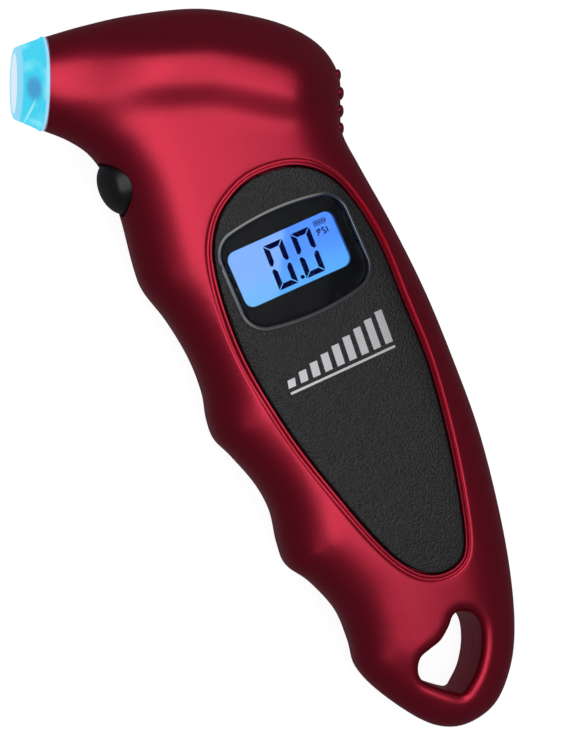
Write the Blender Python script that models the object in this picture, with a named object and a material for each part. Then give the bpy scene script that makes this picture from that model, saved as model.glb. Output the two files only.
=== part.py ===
"""A hand-held digital tire pressure gauge, lying on its back with its display facing up.

The row frame: +Z is up and out of the display, the nozzle points along -X, and the handle runs
towards -Y, leaning to +X by HANDLE_TILT. The origin is under the middle of the gauge's box.
Sizes are written in millimetres and turned into metres by MM.
"""

import math

import bmesh
import bpy
import numpy as np
from mathutils import Matrix, Vector
from mathutils.geometry import delaunay_2d_cdt

MM = 0.001

# ---------------------------------------------------------------- driving dimensions, in mm

GAP = 0.3  # clearance that touching pieces keep

# casing
WALL = 2.0
PARTING = 14.0  # height of the plane where the casing halves meet
HANDLE_TILT = math.radians(24)
HANDLE_ORIGIN = (3.1, 0.65)  # of the handle's axes: across it, and up it from the tail
EDGE_RADIUS = 12.0  # how far in from the outline the casing's sides are rounded
HANDLE_FRONT = 11.0  # front surface above the parting plane, beside the display
TAIL_DROP = 3.0  # how much lower the front surface is at the tail
TAIL_LIFT = 5.0  # how much higher the back surface is there
TAIL_SPAN = (36.0, 84.0)  # distances down the handle where those start and end
BACK_FULLNESS = 3.0  # how square the back's edges are, where 2 is a quarter circle
CAVITY_END = 49.0  # down the handle, from where the casing is solid
CROWN_SHARE = 0.14  # of the front's height, and how deep in from the outline this crown ends
CROWN_REACH = 26.0
BARREL_RISE = 3.0  # how far the head's barrel stands above the handle's surface
BARREL_GROWN_X = -22.0  # where the head has its full section
SIDE_RINGS = (0.3, 1.3, 3.0, 5.4, 8.4, 12.0)  # depths where a casing half has points, and its cavity
CAVITY_RINGS = (0.4, 1.8, 4.2, 7.2, 10.0)
THUMB_RIBS = ((14.0, 60.2), (14.6, 56.6), (14.55, 53.0), (14.6, 49.4))
RIB_HALF = (0.75, 1.35)  # half size of a thumb rib, out of the casing and along it
RIB_REACH = 4.5  # how far the thumb ribs run up and down from the parting plane
CRADLE_X, CRADLE_RADIUS = -35.2, 4.5
CRADLE_SIZE, CRADLE_REACH = (1.5, 10.0), 9.8  # along X and Y, and up and down from the parting plane
THROUGH = 40.0  # a height that is past the casing, for what cuts right through it

# nozzle
NOZZLE_Y = 57.0
COLLAR_X = -45.5  # where the casing ends and the lit nozzle starts
NOZZLE_RADIUS = 9.3
NOZZLE_TIP_X = -51.7
SOCKET_RADIUS, SOCKET_END_X = 8.3, -39.0
STEM_BORE = 4.4  # radius; a tire valve's stem is 7.7 mm across

# screws
SCREW_SPOTS = ((6.0, 60.5), (-18.2, 21.6), (-4.0, -7.5), (33.0, -43.5))
SCREW_SHANK, SCREW_HEAD = 1.2, 2.2  # radii
SCREW_HEAD_THICK, SCREW_REACH, SCREW_HOLE_REACH = 1.8, 5.0, 5.5  # the last two above the parting plane
SCREW_SEAT = 6.0  # height of the heads' seats above the back
FRONT_BOSS, REAR_BOSS = 3.0, 3.6  # radii

# battery door and cell; spots are in the handle's axes
CELL_RADIUS, CELL_THICK = 10.0, 3.2
DOOR_RADIUS, DOOR_LUG_RADIUS = 12.2, 13.6
DOOR_SPOT = (9.0, 3.0)
DOOR_TURN = math.radians(-45)  # from locked to open: anticlockwise as seen from the back
LUG_HALF_ANGLE = math.radians(13)
DOOR_LOW, DOOR_HIGH = 0.2, 3.2
COIN_SLOT = (16.0, 2.2, 1.4)
HOLDER_ROOF = 8.6

# button
BUTTON_SPOT = (-17.7, 46.9)  # where the button's axis leaves the casing
BUTTON_HALF = (5.9, 6.6)  # half size of its hole along the handle and in height
CAP_DOME = 2.4  # how far it stands out of the casing's outline
CAP_SHOULDER = 1.2  # depth where its dome meets its straight side
# Depths along the button's axis, in from the casing's outline.
BUTTON_HOLE_END, FLANGE_START, FLANGE_END, STEM_END = 7.0, 7.1, 7.9, 9.2
PLUNGER_START, PLUNGER_END, PLUNGER_RADIUS = 9.5, 12.0, 1.5
SWITCH_DEPTH, SWITCH_BOARD_DEPTH, SWITCH_RIB_DEPTH = 12.5, 15.2, 16.9

# face and display
PANEL_FLOOR = 21.0
PANEL_LEDGE, LEDGE_THICK = 1.2, 2.0
RECESS_SPOT, RECESS_HALF, RECESS_BULGE = (8.6, 19.6), (13.6, 10.6), 1.8
LENS_FLOOR, LENS_THICK = 22.6, 1.2
LCD_SPOT, LCD_SIZE, LCD_MIDDLE = (8.2, 20.3), (24.2, 14.0, 1.8), 19.8
DISPLAY_OPENING = (23.8, 12.0)

# electronics
BOARD_LOW, BOARD_THICK = 14.5, 1.2
BOARD_POSTS = ((-3.0, 38.0), (20.0, 38.0), (-3.0, -12.0), (20.0, -12.0))
BOARD_POST_LOW, BOARD_POST_RADIUS = 1.0, 1.6
SENSOR_SPOT, SENSOR_PORT, SENSOR_PORT_Z = (8.0, 35.5), 7.5, 11.4
WIRE_RADIUS, HOSE_RADIUS = 0.45, 1.6

# The casing's outline, from the nozzle's collar over the head, down the back to the tail, and up
# the grip. It's a smooth curve through these points, apart from the straight collar.
CASING_POINTS = (
    (-45.5, 66.3), (-38.0, 68.7), (-28.0, 71.2), (-15.0, 72.9), (-3.5, 71.8), (5.0, 69.4),
    (11.0, 65.5), (14.3, 60.0), (14.6, 54.0), (15.0, 48.5), (18.5, 42.0), (25.5, 30.0),
    (32.5, 16.5), (38.5, 2.5), (43.8, -11.5), (48.0, -27.0), (50.7, -40.5), (51.8, -52.0),
    (51.0, -60.5), (48.0, -67.8), (43.0, -71.8), (37.5, -72.9), (31.5, -71.0), (23.5, -65.5),
    (18.8, -60.5), (17.2, -55.0), (14.5, -48.7), (9.0, -42.8), (4.4, -39.5), (2.5, -35.0),
    (1.0, -28.5), (-2.0, -23.0), (-7.0, -17.3), (-10.6, -13.7), (-12.2, -9.5), (-13.2, -4.0),
    (-16.0, 3.0), (-20.5, 10.3), (-25.2, 16.2), (-27.2, 21.0), (-29.8, 30.5), (-32.3, 37.5),
    (-36.0, 42.8), (-40.5, 45.8), (-45.5, 47.7),
)
# The black face panel's outline, an egg with its point at the tail.
PANEL_POINTS = (
    (-5.5, 38.2), (1.8, 40.6), (8.5, 39.6), (14.3, 35.2), (20.2, 26.5), (25.0, 14.8), (30.3, 2.0),
    (34.3, -12.5), (37.0, -26.0), (38.0, -34.5), (36.8, -38.2), (32.8, -40.3), (27.5, -39.4),
    (21.0, -34.5), (12.0, -24.5), (2.5, -12.5), (-5.5, 0.2), (-10.5, 11.5), (-13.2, 21.5),
    (-12.8, 28.5), (-10.2, 33.8),
)
# The lanyard hole: round at its top, with a lobe to the left and a corner at the bottom.
HOLE_POINTS = (
    (38.0, -48.5), (40.6, -49.0), (42.6, -51.5), (43.0, -56.0), (42.0, -60.8), (40.2, -64.2),
    (39.3, -65.3), (37.6, -65.2), (33.6, -63.9), (30.6, -62.4), (29.6, -60.2), (30.0, -57.7),
    (31.9, -56.0), (34.0, -54.3), (35.6, -51.6), (36.5, -49.3),
)
# The head's barrel runs along this line, which its rise fades out from.
BARREL_AXIS = ((-45.5, 57.0), (-28.0, 59.4), (-13.0, 60.3), (2.5, 57.5))
BARREL_REACH = (2.0, 9.5)  # distances from the axis where the rise starts and ends its fall

# ---------------------------------------------------------------- colours


def paint(name, colour, roughness, metallic=0.0):
    """A Principled material of one plain colour."""
    material = bpy.data.materials.new(name)
    material.use_nodes = True
    shader = material.node_tree.nodes["Principled BSDF"]
    shader.inputs["Base Color"].default_value = (*colour, 1.0)
    shader.inputs["Roughness"].default_value = roughness
    shader.inputs["Metallic"].default_value = metallic
    return material


# ---------------------------------------------------------------- outlines and heights


def smooth_curve(points, step, closed=False):
    """Points about step apart on a smooth curve through points, as tuples."""
    points = [Vector(p) for p in points]
    count = len(points)
    found = []
    for i in range(count if closed else count - 1):
        start, end = points[i], points[(i + 1) % count]
        before = points[i - 1] if closed or i > 0 else start
        after = points[(i + 2) % count] if closed or i + 2 < count else end
        pieces = max(1, round((end - start).length / step))
        for k in range(pieces):
            t = k / pieces
            found.append(
                0.5 * (2 * start + (end - before) * t
                       + (2 * before - 5 * start + 4 * end - after) * t * t
                       + (3 * start - 3 * end + after - before) * t * t * t)
            )
    if not closed:
        found.append(points[-1])
    return [tuple(p) for p in found]


def inset(loop, distance):
    """The loop moved to its left by distance: a clockwise loop grows, and shrinks where it is negative."""
    points = np.array(loop)
    ahead = np.roll(points, -1, 0) - np.roll(points, 1, 0)
    ahead /= np.linalg.norm(ahead, axis=1)[:, None]
    return [tuple(p) for p in points + distance * np.stack([-ahead[:, 1], ahead[:, 0]], 1)]


def distance_to(line, points):
    """Each point's distance to a polyline, as an array."""
    line, points = np.array(line), np.array(points)
    best = np.full(len(points), np.inf)
    for start, end in zip(line[:-1], line[1:]):
        along = end - start
        share = np.clip((points - start) @ along / (along @ along), 0, 1)
        foot = start + share[:, None] * along
        best = np.minimum(best, np.linalg.norm(points - foot, axis=1))
    return best


def inside(loop, points):
    """Whether each point is inside the closed loop, as an array."""
    loop, points = np.array(loop), np.array(points)
    crossed = np.zeros(len(points), bool)
    for (x0, y0), (x1, y1) in zip(loop, np.roll(loop, -1, 0)):
        spans = (y0 > points[:, 1]) != (y1 > points[:, 1])
        if y0 != y1:
            crossed ^= spans & (points[:, 0] < x0 + (points[:, 1] - y0) * (x1 - x0) / (y1 - y0))
    return crossed


def ease(low, high, value):
    """0 below low and 1 above high, with a smooth step between them."""
    t = np.clip((value - low) / (high - low), 0, 1)
    return t * t * (3 - 2 * t)


COLLAR_STEPS = 12
COLLAR_LINE = [(COLLAR_X, NOZZLE_Y - NOZZLE_RADIUS * math.cos(math.pi * k / COLLAR_STEPS))
               for k in range(1, COLLAR_STEPS)]
CASING_EDGE = smooth_curve(CASING_POINTS, 4.6)
CASING_LOOP = CASING_EDGE + COLLAR_LINE
# The cavity stops short of the collar, where the nozzle's socket opens the rest.
CAVITY_LOOP = [p for p in inset(CASING_EDGE, -WALL) if p[0] > COLLAR_X + WALL]
CAVITY_FROM, CAVITY_TO = Vector(CAVITY_LOOP[-1]), Vector(CAVITY_LOOP[0])
CAVITY_LOOP += [tuple(CAVITY_FROM.lerp(CAVITY_TO, k / COLLAR_STEPS)) for k in range(1, COLLAR_STEPS)]
PANEL_LOOP = smooth_curve(PANEL_POINTS, 4.5, closed=True)
HOLE_LOOP = smooth_curve(HOLE_POINTS, 2.0, closed=True)
HOLE_EDGE = HOLE_LOOP + HOLE_LOOP[:1]


def along_handle(points):
    """How far each point is towards the tail, measured down the handle."""
    return points @ np.array((math.sin(HANDLE_TILT), -math.cos(HANDLE_TILT)))


def rounding(points, wall):
    """0 at the casing's edge to 1 in its middle: a quarter circle, and then a slight crown."""
    grown = ease(COLLAR_X, BARREL_GROWN_X, points[:, 0])
    radius = NOZZLE_RADIUS + (EDGE_RADIUS - NOZZLE_RADIUS) * grown - wall
    edge = distance_to(CASING_EDGE, points) - wall
    share = CROWN_SHARE * grown
    depth = np.clip(edge / radius, 0, 1)
    crown = np.clip(edge / CROWN_REACH, 0, 1)
    return (1 - share) * np.sqrt(1 - (1 - depth) ** 2) + share * np.sqrt(1 - (1 - crown) ** 2)


def front_height(points, wall=0.0):
    """The front surface above the parting plane, or the cavity's ceiling a wall's thickness below it."""
    points = np.array(points)
    rise = BARREL_RISE * (1 - ease(*BARREL_REACH, distance_to(BARREL_AXIS, points)))
    level = HANDLE_FRONT - TAIL_DROP * ease(*TAIL_SPAN, along_handle(points)) + rise
    grown = ease(COLLAR_X, BARREL_GROWN_X, points[:, 0])
    level = NOZZLE_RADIUS + (level - NOZZLE_RADIUS) * grown - wall
    return level * rounding(points, wall)


def back_height(points, wall=0.0):
    """The back surface below the parting plane: flat, apart from its edge, its tail and the collar."""
    points = np.array(points)
    grown = ease(COLLAR_X, BARREL_GROWN_X, points[:, 0])
    level = PARTING - TAIL_LIFT * ease(*TAIL_SPAN, along_handle(points))
    depth = np.clip((distance_to(CASING_EDGE, points) - wall) / (EDGE_RADIUS - wall), 0, 1)
    power = 2 + (BACK_FULLNESS - 2) * grown
    level = NOZZLE_RADIUS + (level - NOZZLE_RADIUS) * grown - wall
    return level * (1 - (1 - depth) ** power) ** (1 / power)


# ---------------------------------------------------------------- making objects


def add(name, mesh, material=None, parent=None, place=Matrix()):
    """Links a mesh as an object, in metres, with its round faces smooth, at a place in millimetres."""
    obj = bpy.data.objects.new(name, mesh)
    bpy.context.scene.collection.objects.link(obj)
    mesh.transform(Matrix.Scale(MM, 4))
    mesh.shade_smooth()
    mesh.set_sharp_from_angle(angle=math.radians(30))
    obj.location = place.to_translation() * MM
    obj.rotation_euler = place.to_euler()
    if material:
        mesh.materials.append(material)
    if parent:
        obj.parent = parent
    return obj


def mesh_of(bm, name):
    bmesh.ops.recalc_face_normals(bm, faces=bm.faces)
    mesh = bpy.data.meshes.new(name)
    bm.to_mesh(mesh)
    bm.free()
    return mesh


def crowned(name, loop, top, base, rings, side=1, spacing=7.0, reach=EDGE_RADIUS, skirt=0.0, **kind):
    """A solid over a loop: flat at base, and top(points) beyond it, up where side is 1 and down at -1.

    Rings of points follow the loop at the given depths, a grid fills what is left, and a skirt goes
    past base.
    """
    points = list(loop)
    outline = loop + loop[:1]
    for depth in rings:
        ring = inset(loop, -depth)
        keep = (distance_to(outline, ring) > 0.9 * depth) & inside(loop, ring)
        points += [p for p, good in zip(ring, keep) if good]
    low, high = np.min(loop, 0), np.max(loop, 0)
    columns, rows = (np.arange(low[i], high[i], spacing) for i in (0, 1))
    grid = [(x, y) for x in columns for y in rows]
    keep = inside(loop, grid) & (distance_to(outline, grid) > reach + 0.4 * spacing)
    points += [p for p, good in zip(grid, keep) if good]
    edges = [(i, (i + 1) % len(loop)) for i in range(len(loop))]
    flat, _, faces, *_ = delaunay_2d_cdt([Vector(p) for p in points], edges, [], 1, 1e-4)
    heights = base + side * np.maximum(top([tuple(p) for p in flat]), 0)
    bm = bmesh.new()
    over = [bm.verts.new((p.x, p.y, z)) for p, z in zip(flat, heights)]
    for face in faces:
        bm.faces.new([over[i] for i in face])
    rim = over[: len(loop)]
    under = [bm.verts.new((v.co.x, v.co.y, base - side * skirt)) for v in rim]
    for i in range(len(loop)):
        j = (i + 1) % len(loop)
        bm.faces.new((rim[i], rim[j], under[j], under[i]))
    bm.faces.new(under)
    bmesh.ops.remove_doubles(bm, verts=bm.verts, dist=0.02)
    return add(name, mesh_of(bm, name), **kind)


def prism(name, loop, low, high, **kind):
    """A loop extruded from one height to another."""
    bm = bmesh.new()
    bottom = bm.faces.new([bm.verts.new((x, y, low)) for x, y in loop])
    made = bmesh.ops.extrude_face_region(bm, geom=[bottom])["geom"]
    tops = [v for v in made if isinstance(v, bmesh.types.BMVert)]
    bmesh.ops.translate(bm, verts=tops, vec=(0, 0, high - low))
    return add(name, mesh_of(bm, name), **kind)


def block(name, size, centre, turn=0.0, **kind):
    """A box of this size, turned about Z."""
    bm = bmesh.new()
    bmesh.ops.create_cube(bm, size=1, matrix=Matrix.Diagonal((*size, 1)))
    place = Matrix.Translation(centre) @ Matrix.Rotation(turn, 4, "Z")
    return add(name, mesh_of(bm, name), place=place, **kind)


def turned(name, profile, place=Matrix(), sides=24, squash=(1, 1), bored=False, **kind):
    """A profile of (radius, height) points turned about Z, at a place.

    A solid's profile starts and ends on the axis, and a bored one's closes on itself.
    """
    bm = bmesh.new()
    rings = []
    for radius, height in profile:
        turns = range(sides) if radius > 0 else range(1)
        ring = []
        for k in turns:
            angle = 2 * math.pi * k / sides
            ring.append(bm.verts.new((radius * squash[0] * math.cos(angle),
                                      radius * squash[1] * math.sin(angle), height)))
        rings.append(ring)
    pairs = list(zip(rings, rings[1:] + rings[:1])) if bored else list(zip(rings, rings[1:]))
    for low, high in pairs:
        for k in range(sides):
            corners = [low[k % len(low)], low[(k + 1) % len(low)],
                       high[(k + 1) % len(high)], high[k % len(high)]]
            bm.faces.new(list(dict.fromkeys(corners)))
    return add(name, mesh_of(bm, name), place=place, **kind)


def tube(name, points, radius, material, resolution=2):
    """A round wire or hose along a smooth curve through points."""
    curve = bpy.data.curves.new(name, "CURVE")
    curve.dimensions = "3D"
    curve.bevel_depth = radius * MM
    curve.bevel_resolution = resolution
    curve.use_fill_caps = True
    route = smooth_curve(points, max(2.0, 2.5 * radius))
    spline = curve.splines.new("POLY")
    spline.points.add(len(route) - 1)
    for point, place in zip(spline.points, route):
        point.co = (*(Vector(place) * MM), 1)
    obj = bpy.data.objects.new(name, curve)
    bpy.context.scene.collection.objects.link(obj)
    curve.materials.append(material)
    return obj


def change(target, other, operation):
    """Cuts other from target, or joins it on, and hides other as a helper."""
    other.hide_render = True
    other.display_type = "WIRE"
    modifier = target.modifiers.new(other.name, "BOOLEAN")
    modifier.object = other
    modifier.operation = operation
    modifier.solver = "EXACT"


def weld(target):
    """Merges the points that a cut leaves on top of each other."""
    modifier = target.modifiers.new("weld", "WELD")
    modifier.merge_threshold = 0.02 * MM


def cut(target, other):
    change(target, other, "DIFFERENCE")


def join(target, other):
    change(target, other, "UNION")


# ---------------------------------------------------------------- places


def handle_point(across, up, z=0.0):
    """A point given in the handle's axes, in the row frame."""
    c, s = math.cos(HANDLE_TILT), math.sin(HANDLE_TILT)
    x = HANDLE_ORIGIN[0] + across * c - up * s
    y = HANDLE_ORIGIN[1] + across * s + up * c
    return Vector((x, y, z))


def handle_axes():
    """An empty whose X runs across the handle and whose Y runs up it, away from the tail."""
    empty = bpy.data.objects.new("handle_axes", None)
    bpy.context.scene.collection.objects.link(empty)
    empty.location = handle_point(0, 0) * MM
    empty.rotation_euler = (0, 0, HANDLE_TILT)
    return empty


ALONG_X = Matrix.Rotation(math.radians(90), 4, "Y")  # turns Z to +X
ALONG_Y = Matrix.Rotation(math.radians(-90), 4, "X")  # turns Z to +Y
NOZZLE_PLACE = Matrix.Translation((0, NOZZLE_Y, PARTING)) @ ALONG_X
BUTTON_PLACE = (Matrix.Translation(handle_point(*BUTTON_SPOT, PARTING))
                @ Matrix.Rotation(HANDLE_TILT, 4, "Z") @ ALONG_X)
DOOR_PLACE = Matrix.Translation(handle_point(*DOOR_SPOT))


# ---------------------------------------------------------------- casing


def post(name, spot, low, high, radius, sides=14, **kind):
    """An upright round post, or a cutter for a round hole."""
    profile = ((0, low), (radius, low), (radius, high), (0, high))
    return turned(name, profile, Matrix.Translation((*spot, 0)), sides=sides, **kind)


def reach_into_wall(height, spot, radius):
    """How far from the parting plane a post can go and stay in the casing's wall all round."""
    turns = [2 * math.pi * k / 8 for k in range(8)]
    rim = [(spot[0] + radius * math.cos(t), spot[1] + radius * math.sin(t)) for t in turns]
    return float(min(height(rim))) - 0.4


def nozzle_socket(name):
    """The round hole that the nozzle's spigot sits in."""
    start, end = COLLAR_X - 2, SOCKET_END_X
    profile = ((0, start), (SOCKET_RADIUS, start), (SOCKET_RADIUS, end), (0, end))
    return turned(name, profile, NOZZLE_PLACE, sides=32)


def button_hole(name):
    """The oval hole that the button stands in, as a unit circle squashed to size."""
    half_along, half_high = BUTTON_HALF
    start = -BUTTON_HOLE_END
    profile = ((0, start), (1, start), (1, BUTTON_HOLE_END), (0, BUTTON_HOLE_END))
    return turned(name, profile, BUTTON_PLACE, sides=24, squash=(half_high, half_along))


def tail_block(name):
    """Everything beyond the end of the casing's cavity, towards the tail."""
    wide, far = 60, 110
    spots = ((-wide, CAVITY_END), (wide, CAVITY_END), (wide, far), (-wide, far))
    return prism(name, [tuple(handle_point(x, -y).xy) for x, y in spots], -5, THROUGH)


def hollow(shell, name, height, base, side):
    """Cuts the cavity out of a casing half, up to where the tail is solid."""
    cavity = crowned(f"{name}_cavity", CAVITY_LOOP, height, base, CAVITY_RINGS, side=side,
                     reach=EDGE_RADIUS - WALL, skirt=1.0)
    cut(cavity, tail_block(f"{name}_tail_block"))
    cut(shell, cavity)


def cradle(shell, name, low, high):
    """A rib across the head that the nozzle's chuck sits in."""
    rib = block(f"{name}_cradle", (*CRADLE_SIZE, high - low), (CRADLE_X, NOZZLE_Y, (low + high) / 2))
    start, end = CRADLE_X - 3, CRADLE_X + 3
    bore = ((0, start), (CRADLE_RADIUS, start), (CRADLE_RADIUS, end), (0, end))
    cut(rib, turned(f"{name}_cradle_bore", bore, NOZZLE_PLACE, sides=24))
    join(shell, rib)


def thumb_rib(name, spot, base, side):
    """A rib that follows the casing's rounded flank from base up, or down where side is -1."""
    bm = bmesh.new()
    rings = []
    for rise in (0, 0.25, 0.5, 0.7, 0.85, 0.95):
        height = rise * RIB_REACH
        half_out, half_along = (half * math.sqrt(1 - rise * rise) for half in RIB_HALF)
        lean = EDGE_RADIUS * (1 - math.sqrt(1 - (height / HANDLE_FRONT) ** 2))
        turns = [2 * math.pi * k / 10 for k in range(10)]
        x, y = spot[0] - lean, spot[1]
        rings.append([bm.verts.new((x + half_out * math.cos(t), y + half_along * math.sin(t),
                                    base + side * height)) for t in turns])
    for low, high in zip(rings, rings[1:]):
        for k in range(10):
            bm.faces.new((low[k], low[(k + 1) % 10], high[(k + 1) % 10], high[k]))
    bm.faces.new(rings[0])
    bm.faces.new(rings[-1])
    return add(name, mesh_of(bm, name))


def front_shell(red):
    """The half with the display, which takes the screws' threads."""
    base = PARTING + GAP / 2
    shell = crowned("front_shell", CASING_LOOP, lambda p: front_height(p) - GAP / 2, base, SIDE_RINGS,
                    material=red)
    for i, spot in enumerate(THUMB_RIBS):
        join(shell, thumb_rib(f"front_thumb_rib_{i + 1}", spot, base, 1))
    hollow(shell, "front", lambda p: front_height(p, WALL) - GAP / 2, base, 1)
    cradle(shell, "front", base, PARTING + CRADLE_REACH)
    ledge_low = PANEL_FLOOR - GAP - LEDGE_THICK
    ledge_drop = ledge_low + 2 * GAP - PARTING
    join(shell, crowned("panel_ledge", inset(PANEL_LOOP, WALL), lambda p: front_height(p) - ledge_drop,
                        ledge_low, (4.0,), reach=8))
    for i, spot in enumerate(SCREW_SPOTS[:3]):
        top = PARTING + reach_into_wall(front_height, spot, FRONT_BOSS)
        join(shell, post(f"front_boss_{i + 1}", spot, base + 0.1, top, FRONT_BOSS))
    weld(shell)
    for i, spot in enumerate(SCREW_SPOTS):
        cut(shell, post(f"front_pilot_{i + 1}", spot, PARTING - 3, PARTING + SCREW_HOLE_REACH,
                        SCREW_SHANK + GAP))
        weld(shell)
    cut(shell, prism("panel_pocket", inset(PANEL_LOOP, GAP), PANEL_FLOOR - GAP, THROUGH))
    cut(shell, prism("panel_opening", inset(PANEL_LOOP, -PANEL_LEDGE), PARTING - 2, THROUGH))
    cut(shell, prism("front_lanyard_hole", HOLE_LOOP, -5, THROUGH))
    cut(shell, nozzle_socket("front_socket"))
    cut(shell, button_hole("front_button_hole"))
    weld(shell)


def rear_shell(red):
    """The half that lies on the table, with the battery door and the screws' heads."""
    base = PARTING - GAP / 2
    shell = crowned("rear_shell", CASING_LOOP, lambda p: back_height(p) - GAP / 2, base, SIDE_RINGS, side=-1,
                    material=red)
    for i, spot in enumerate(THUMB_RIBS):
        join(shell, thumb_rib(f"rear_thumb_rib_{i + 1}", spot, base, -1))
    hollow(shell, "rear", lambda p: back_height(p, WALL) - GAP / 2, base, -1)
    cradle(shell, "rear", PARTING - CRADLE_REACH, base)
    for i, spot in enumerate(SCREW_SPOTS[:3]):
        low = PARTING - reach_into_wall(back_height, spot, REAR_BOSS)
        join(shell, post(f"rear_boss_{i + 1}", spot, low, base - 0.1, REAR_BOSS))
    weld(shell)
    for i, spot in enumerate(SCREW_SPOTS):
        wide, narrow, top = SCREW_HEAD + GAP, SCREW_SHANK + GAP, PARTING + 2
        way = ((0, -2), (wide, -2), (wide, SCREW_SEAT), (narrow, SCREW_SEAT), (narrow, top), (0, top))
        cut(shell, turned(f"screw_way_{i + 1}", way, Matrix.Translation((*spot, 0)), sides=14))
        weld(shell)
    for i, spot in enumerate(BOARD_POSTS):
        join(shell, post(f"board_post_{i + 1}", handle_point(*spot).xy, BOARD_POST_LOW, BOARD_LOW - GAP,
                         BOARD_POST_RADIUS, sides=10))
    rib_x, rib_y = BUTTON_SPOT[0] + SWITCH_RIB_DEPTH, BUTTON_SPOT[1]
    join(shell, block("switch_rib", (1.4, 8.0, 12.0), handle_point(rib_x, rib_y, 7.0), turn=HANDLE_TILT))
    cut(shell, prism("rear_lanyard_hole", HOLE_LOOP, -5, THROUGH))
    cut(shell, nozzle_socket("rear_socket"))
    cut(shell, button_hole("rear_button_hole"))
    cut(shell, lug_ring("door_opening", DOOR_RADIUS + GAP, -2, 4, DOOR_TURN, 0.5))
    weld(shell)


def case_screw(name, spot, steel):
    """A pan-head screw that comes in from the back, with a cross in its head."""
    seat = SCREW_SEAT - GAP
    face = seat - SCREW_HEAD_THICK
    tip = PARTING + SCREW_REACH
    profile = ((0, face), (SCREW_HEAD - 0.5, face), (SCREW_HEAD, face + 0.6), (SCREW_HEAD, seat),
               (SCREW_SHANK, seat), (SCREW_SHANK, tip - 1.0), (0.4, tip), (0, tip))
    screw = turned(name, profile, Matrix.Translation((*spot, 0)), sides=14, material=steel)
    for turn in (0, 90):
        cut(screw, block(f"{name}_cross_{turn}", (2.6, 0.6, 1.6), (*spot, face), turn=math.radians(turn)))


# ---------------------------------------------------------------- battery door and battery


def lug_ring(name, radius, low, high, turn, grow):
    """A disc with three lugs, grown by grow at its lugs and turned by turn, about the door's axis."""
    half = LUG_HALF_ANGLE + grow / DOOR_RADIUS
    loop = []
    for lug in range(3):
        middle = turn + 2 * math.pi * lug / 3
        loop += [(DOOR_LUG_RADIUS + grow, middle + half * k) for k in (-1, 0, 1)]
        start = middle + half
        span = 2 * math.pi / 3 - 2 * half
        loop += [(radius, start + span * k / 9) for k in range(10)]
    flat = [(r * math.cos(a), r * math.sin(a)) for r, a in loop]
    return prism(name, flat, low, high, place=DOOR_PLACE)


def battery_door(black):
    """A part-turn door with a coin slot, whose three lugs lock behind the casing's wall."""
    disc = ((0, DOOR_LOW), (DOOR_RADIUS - 0.4, DOOR_LOW), (DOOR_RADIUS, DOOR_LOW + 0.4),
            (DOOR_RADIUS, DOOR_HIGH), (0, DOOR_HIGH))
    door = turned("battery_door", disc, DOOR_PLACE, sides=40, material=black)
    join(door, lug_ring("battery_door_lugs", DOOR_RADIUS - 1.0, WALL + GAP, DOOR_HIGH, 0.0, 0.0))
    cut(door, block("coin_slot", COIN_SLOT, handle_point(*DOOR_SPOT, 0.4), turn=HANDLE_TILT))


def battery(finishes, axes):
    """The coin cell, the holder over it and its two contacts."""
    x, y = DOOR_SPOT
    place = Matrix.Translation((x, y, 0))
    low = DOOR_HIGH + GAP
    top = low + CELL_THICK
    cell = ((0, low), (CELL_RADIUS - 0.3, low), (CELL_RADIUS, low + 0.3), (CELL_RADIUS, top - 0.6),
            (CELL_RADIUS - 1.2, top - 0.6), (CELL_RADIUS - 1.5, top), (0, top))
    turned("coin_cell", cell, place, sides=36, material=finishes["steel"], parent=axes)
    inner, outer, roof = CELL_RADIUS + 0.9, CELL_RADIUS + 2.1, HOLDER_ROOF
    cup = ((0, roof + 1.2), (outer, roof + 1.2), (outer, low + 0.2), (inner, low + 0.2), (inner, roof),
           (0, roof))
    holder = turned("battery_holder", cup, place, sides=36, material=finishes["black"], parent=axes)
    for i, (dx, dy) in enumerate(((-8, 6), (8, 6), (0, -9))):
        join(holder, post(f"holder_post_{i + 1}", (x + dx, y + dy), roof + 0.5, BOARD_LOW - GAP, 1.4,
                          sides=10, parent=axes))
    # A leaf that springs down from the holder's roof to the middle of the cell.
    high, thick = roof - GAP, 0.3
    leaf = ((-7.0, high), (7.0, high), (7.0, high - thick), (0.5, top + GAP), (-1.0, top + GAP),
            (-1.4, top + GAP + thick), (0.2, top + GAP + thick), (5.6, high - thick), (-7.0, high - thick))
    stand = Matrix.Translation((x, y + 1.5, 0)) @ Matrix.Rotation(math.radians(90), 4, "X")
    prism("contact_negative", leaf, 0, 3.0, place=stand, material=finishes["brass"], parent=axes)
    block("contact_positive", (0.25, 3.0, 4.0), (x + CELL_RADIUS + 0.375, y, low + 2.5),
          material=finishes["brass"], parent=axes)


# ---------------------------------------------------------------- face and display


def barrel_loop(centre, half_x, half_y, bulge, corner=3.5):
    """A rounded rectangle whose two long sides swell by bulge at their middle."""
    loop = []
    for sign_x, sign_y, start in ((1, -1, -90), (1, 1, 0), (-1, 1, 90), (-1, -1, 180)):
        middle_x, middle_y = sign_x * (half_x - corner), sign_y * (half_y - bulge - corner)
        turns = [math.radians(start + 90 * k / 5) for k in range(6)]
        loop += [(middle_x + corner * math.cos(t), middle_y + corner * math.sin(t)) for t in turns]
        if sign_x == sign_y:
            loop += [(sign_x * (half_x - corner) * (1 - k / 4), sign_y * (half_y - bulge))
                     for k in range(1, 8)]
    swell = [math.copysign(bulge * (1 - (x / half_x) ** 2), y) for x, y in loop]
    return [(centre[0] + x, centre[1] + y + rise) for (x, y), rise in zip(loop, swell)]


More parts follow.
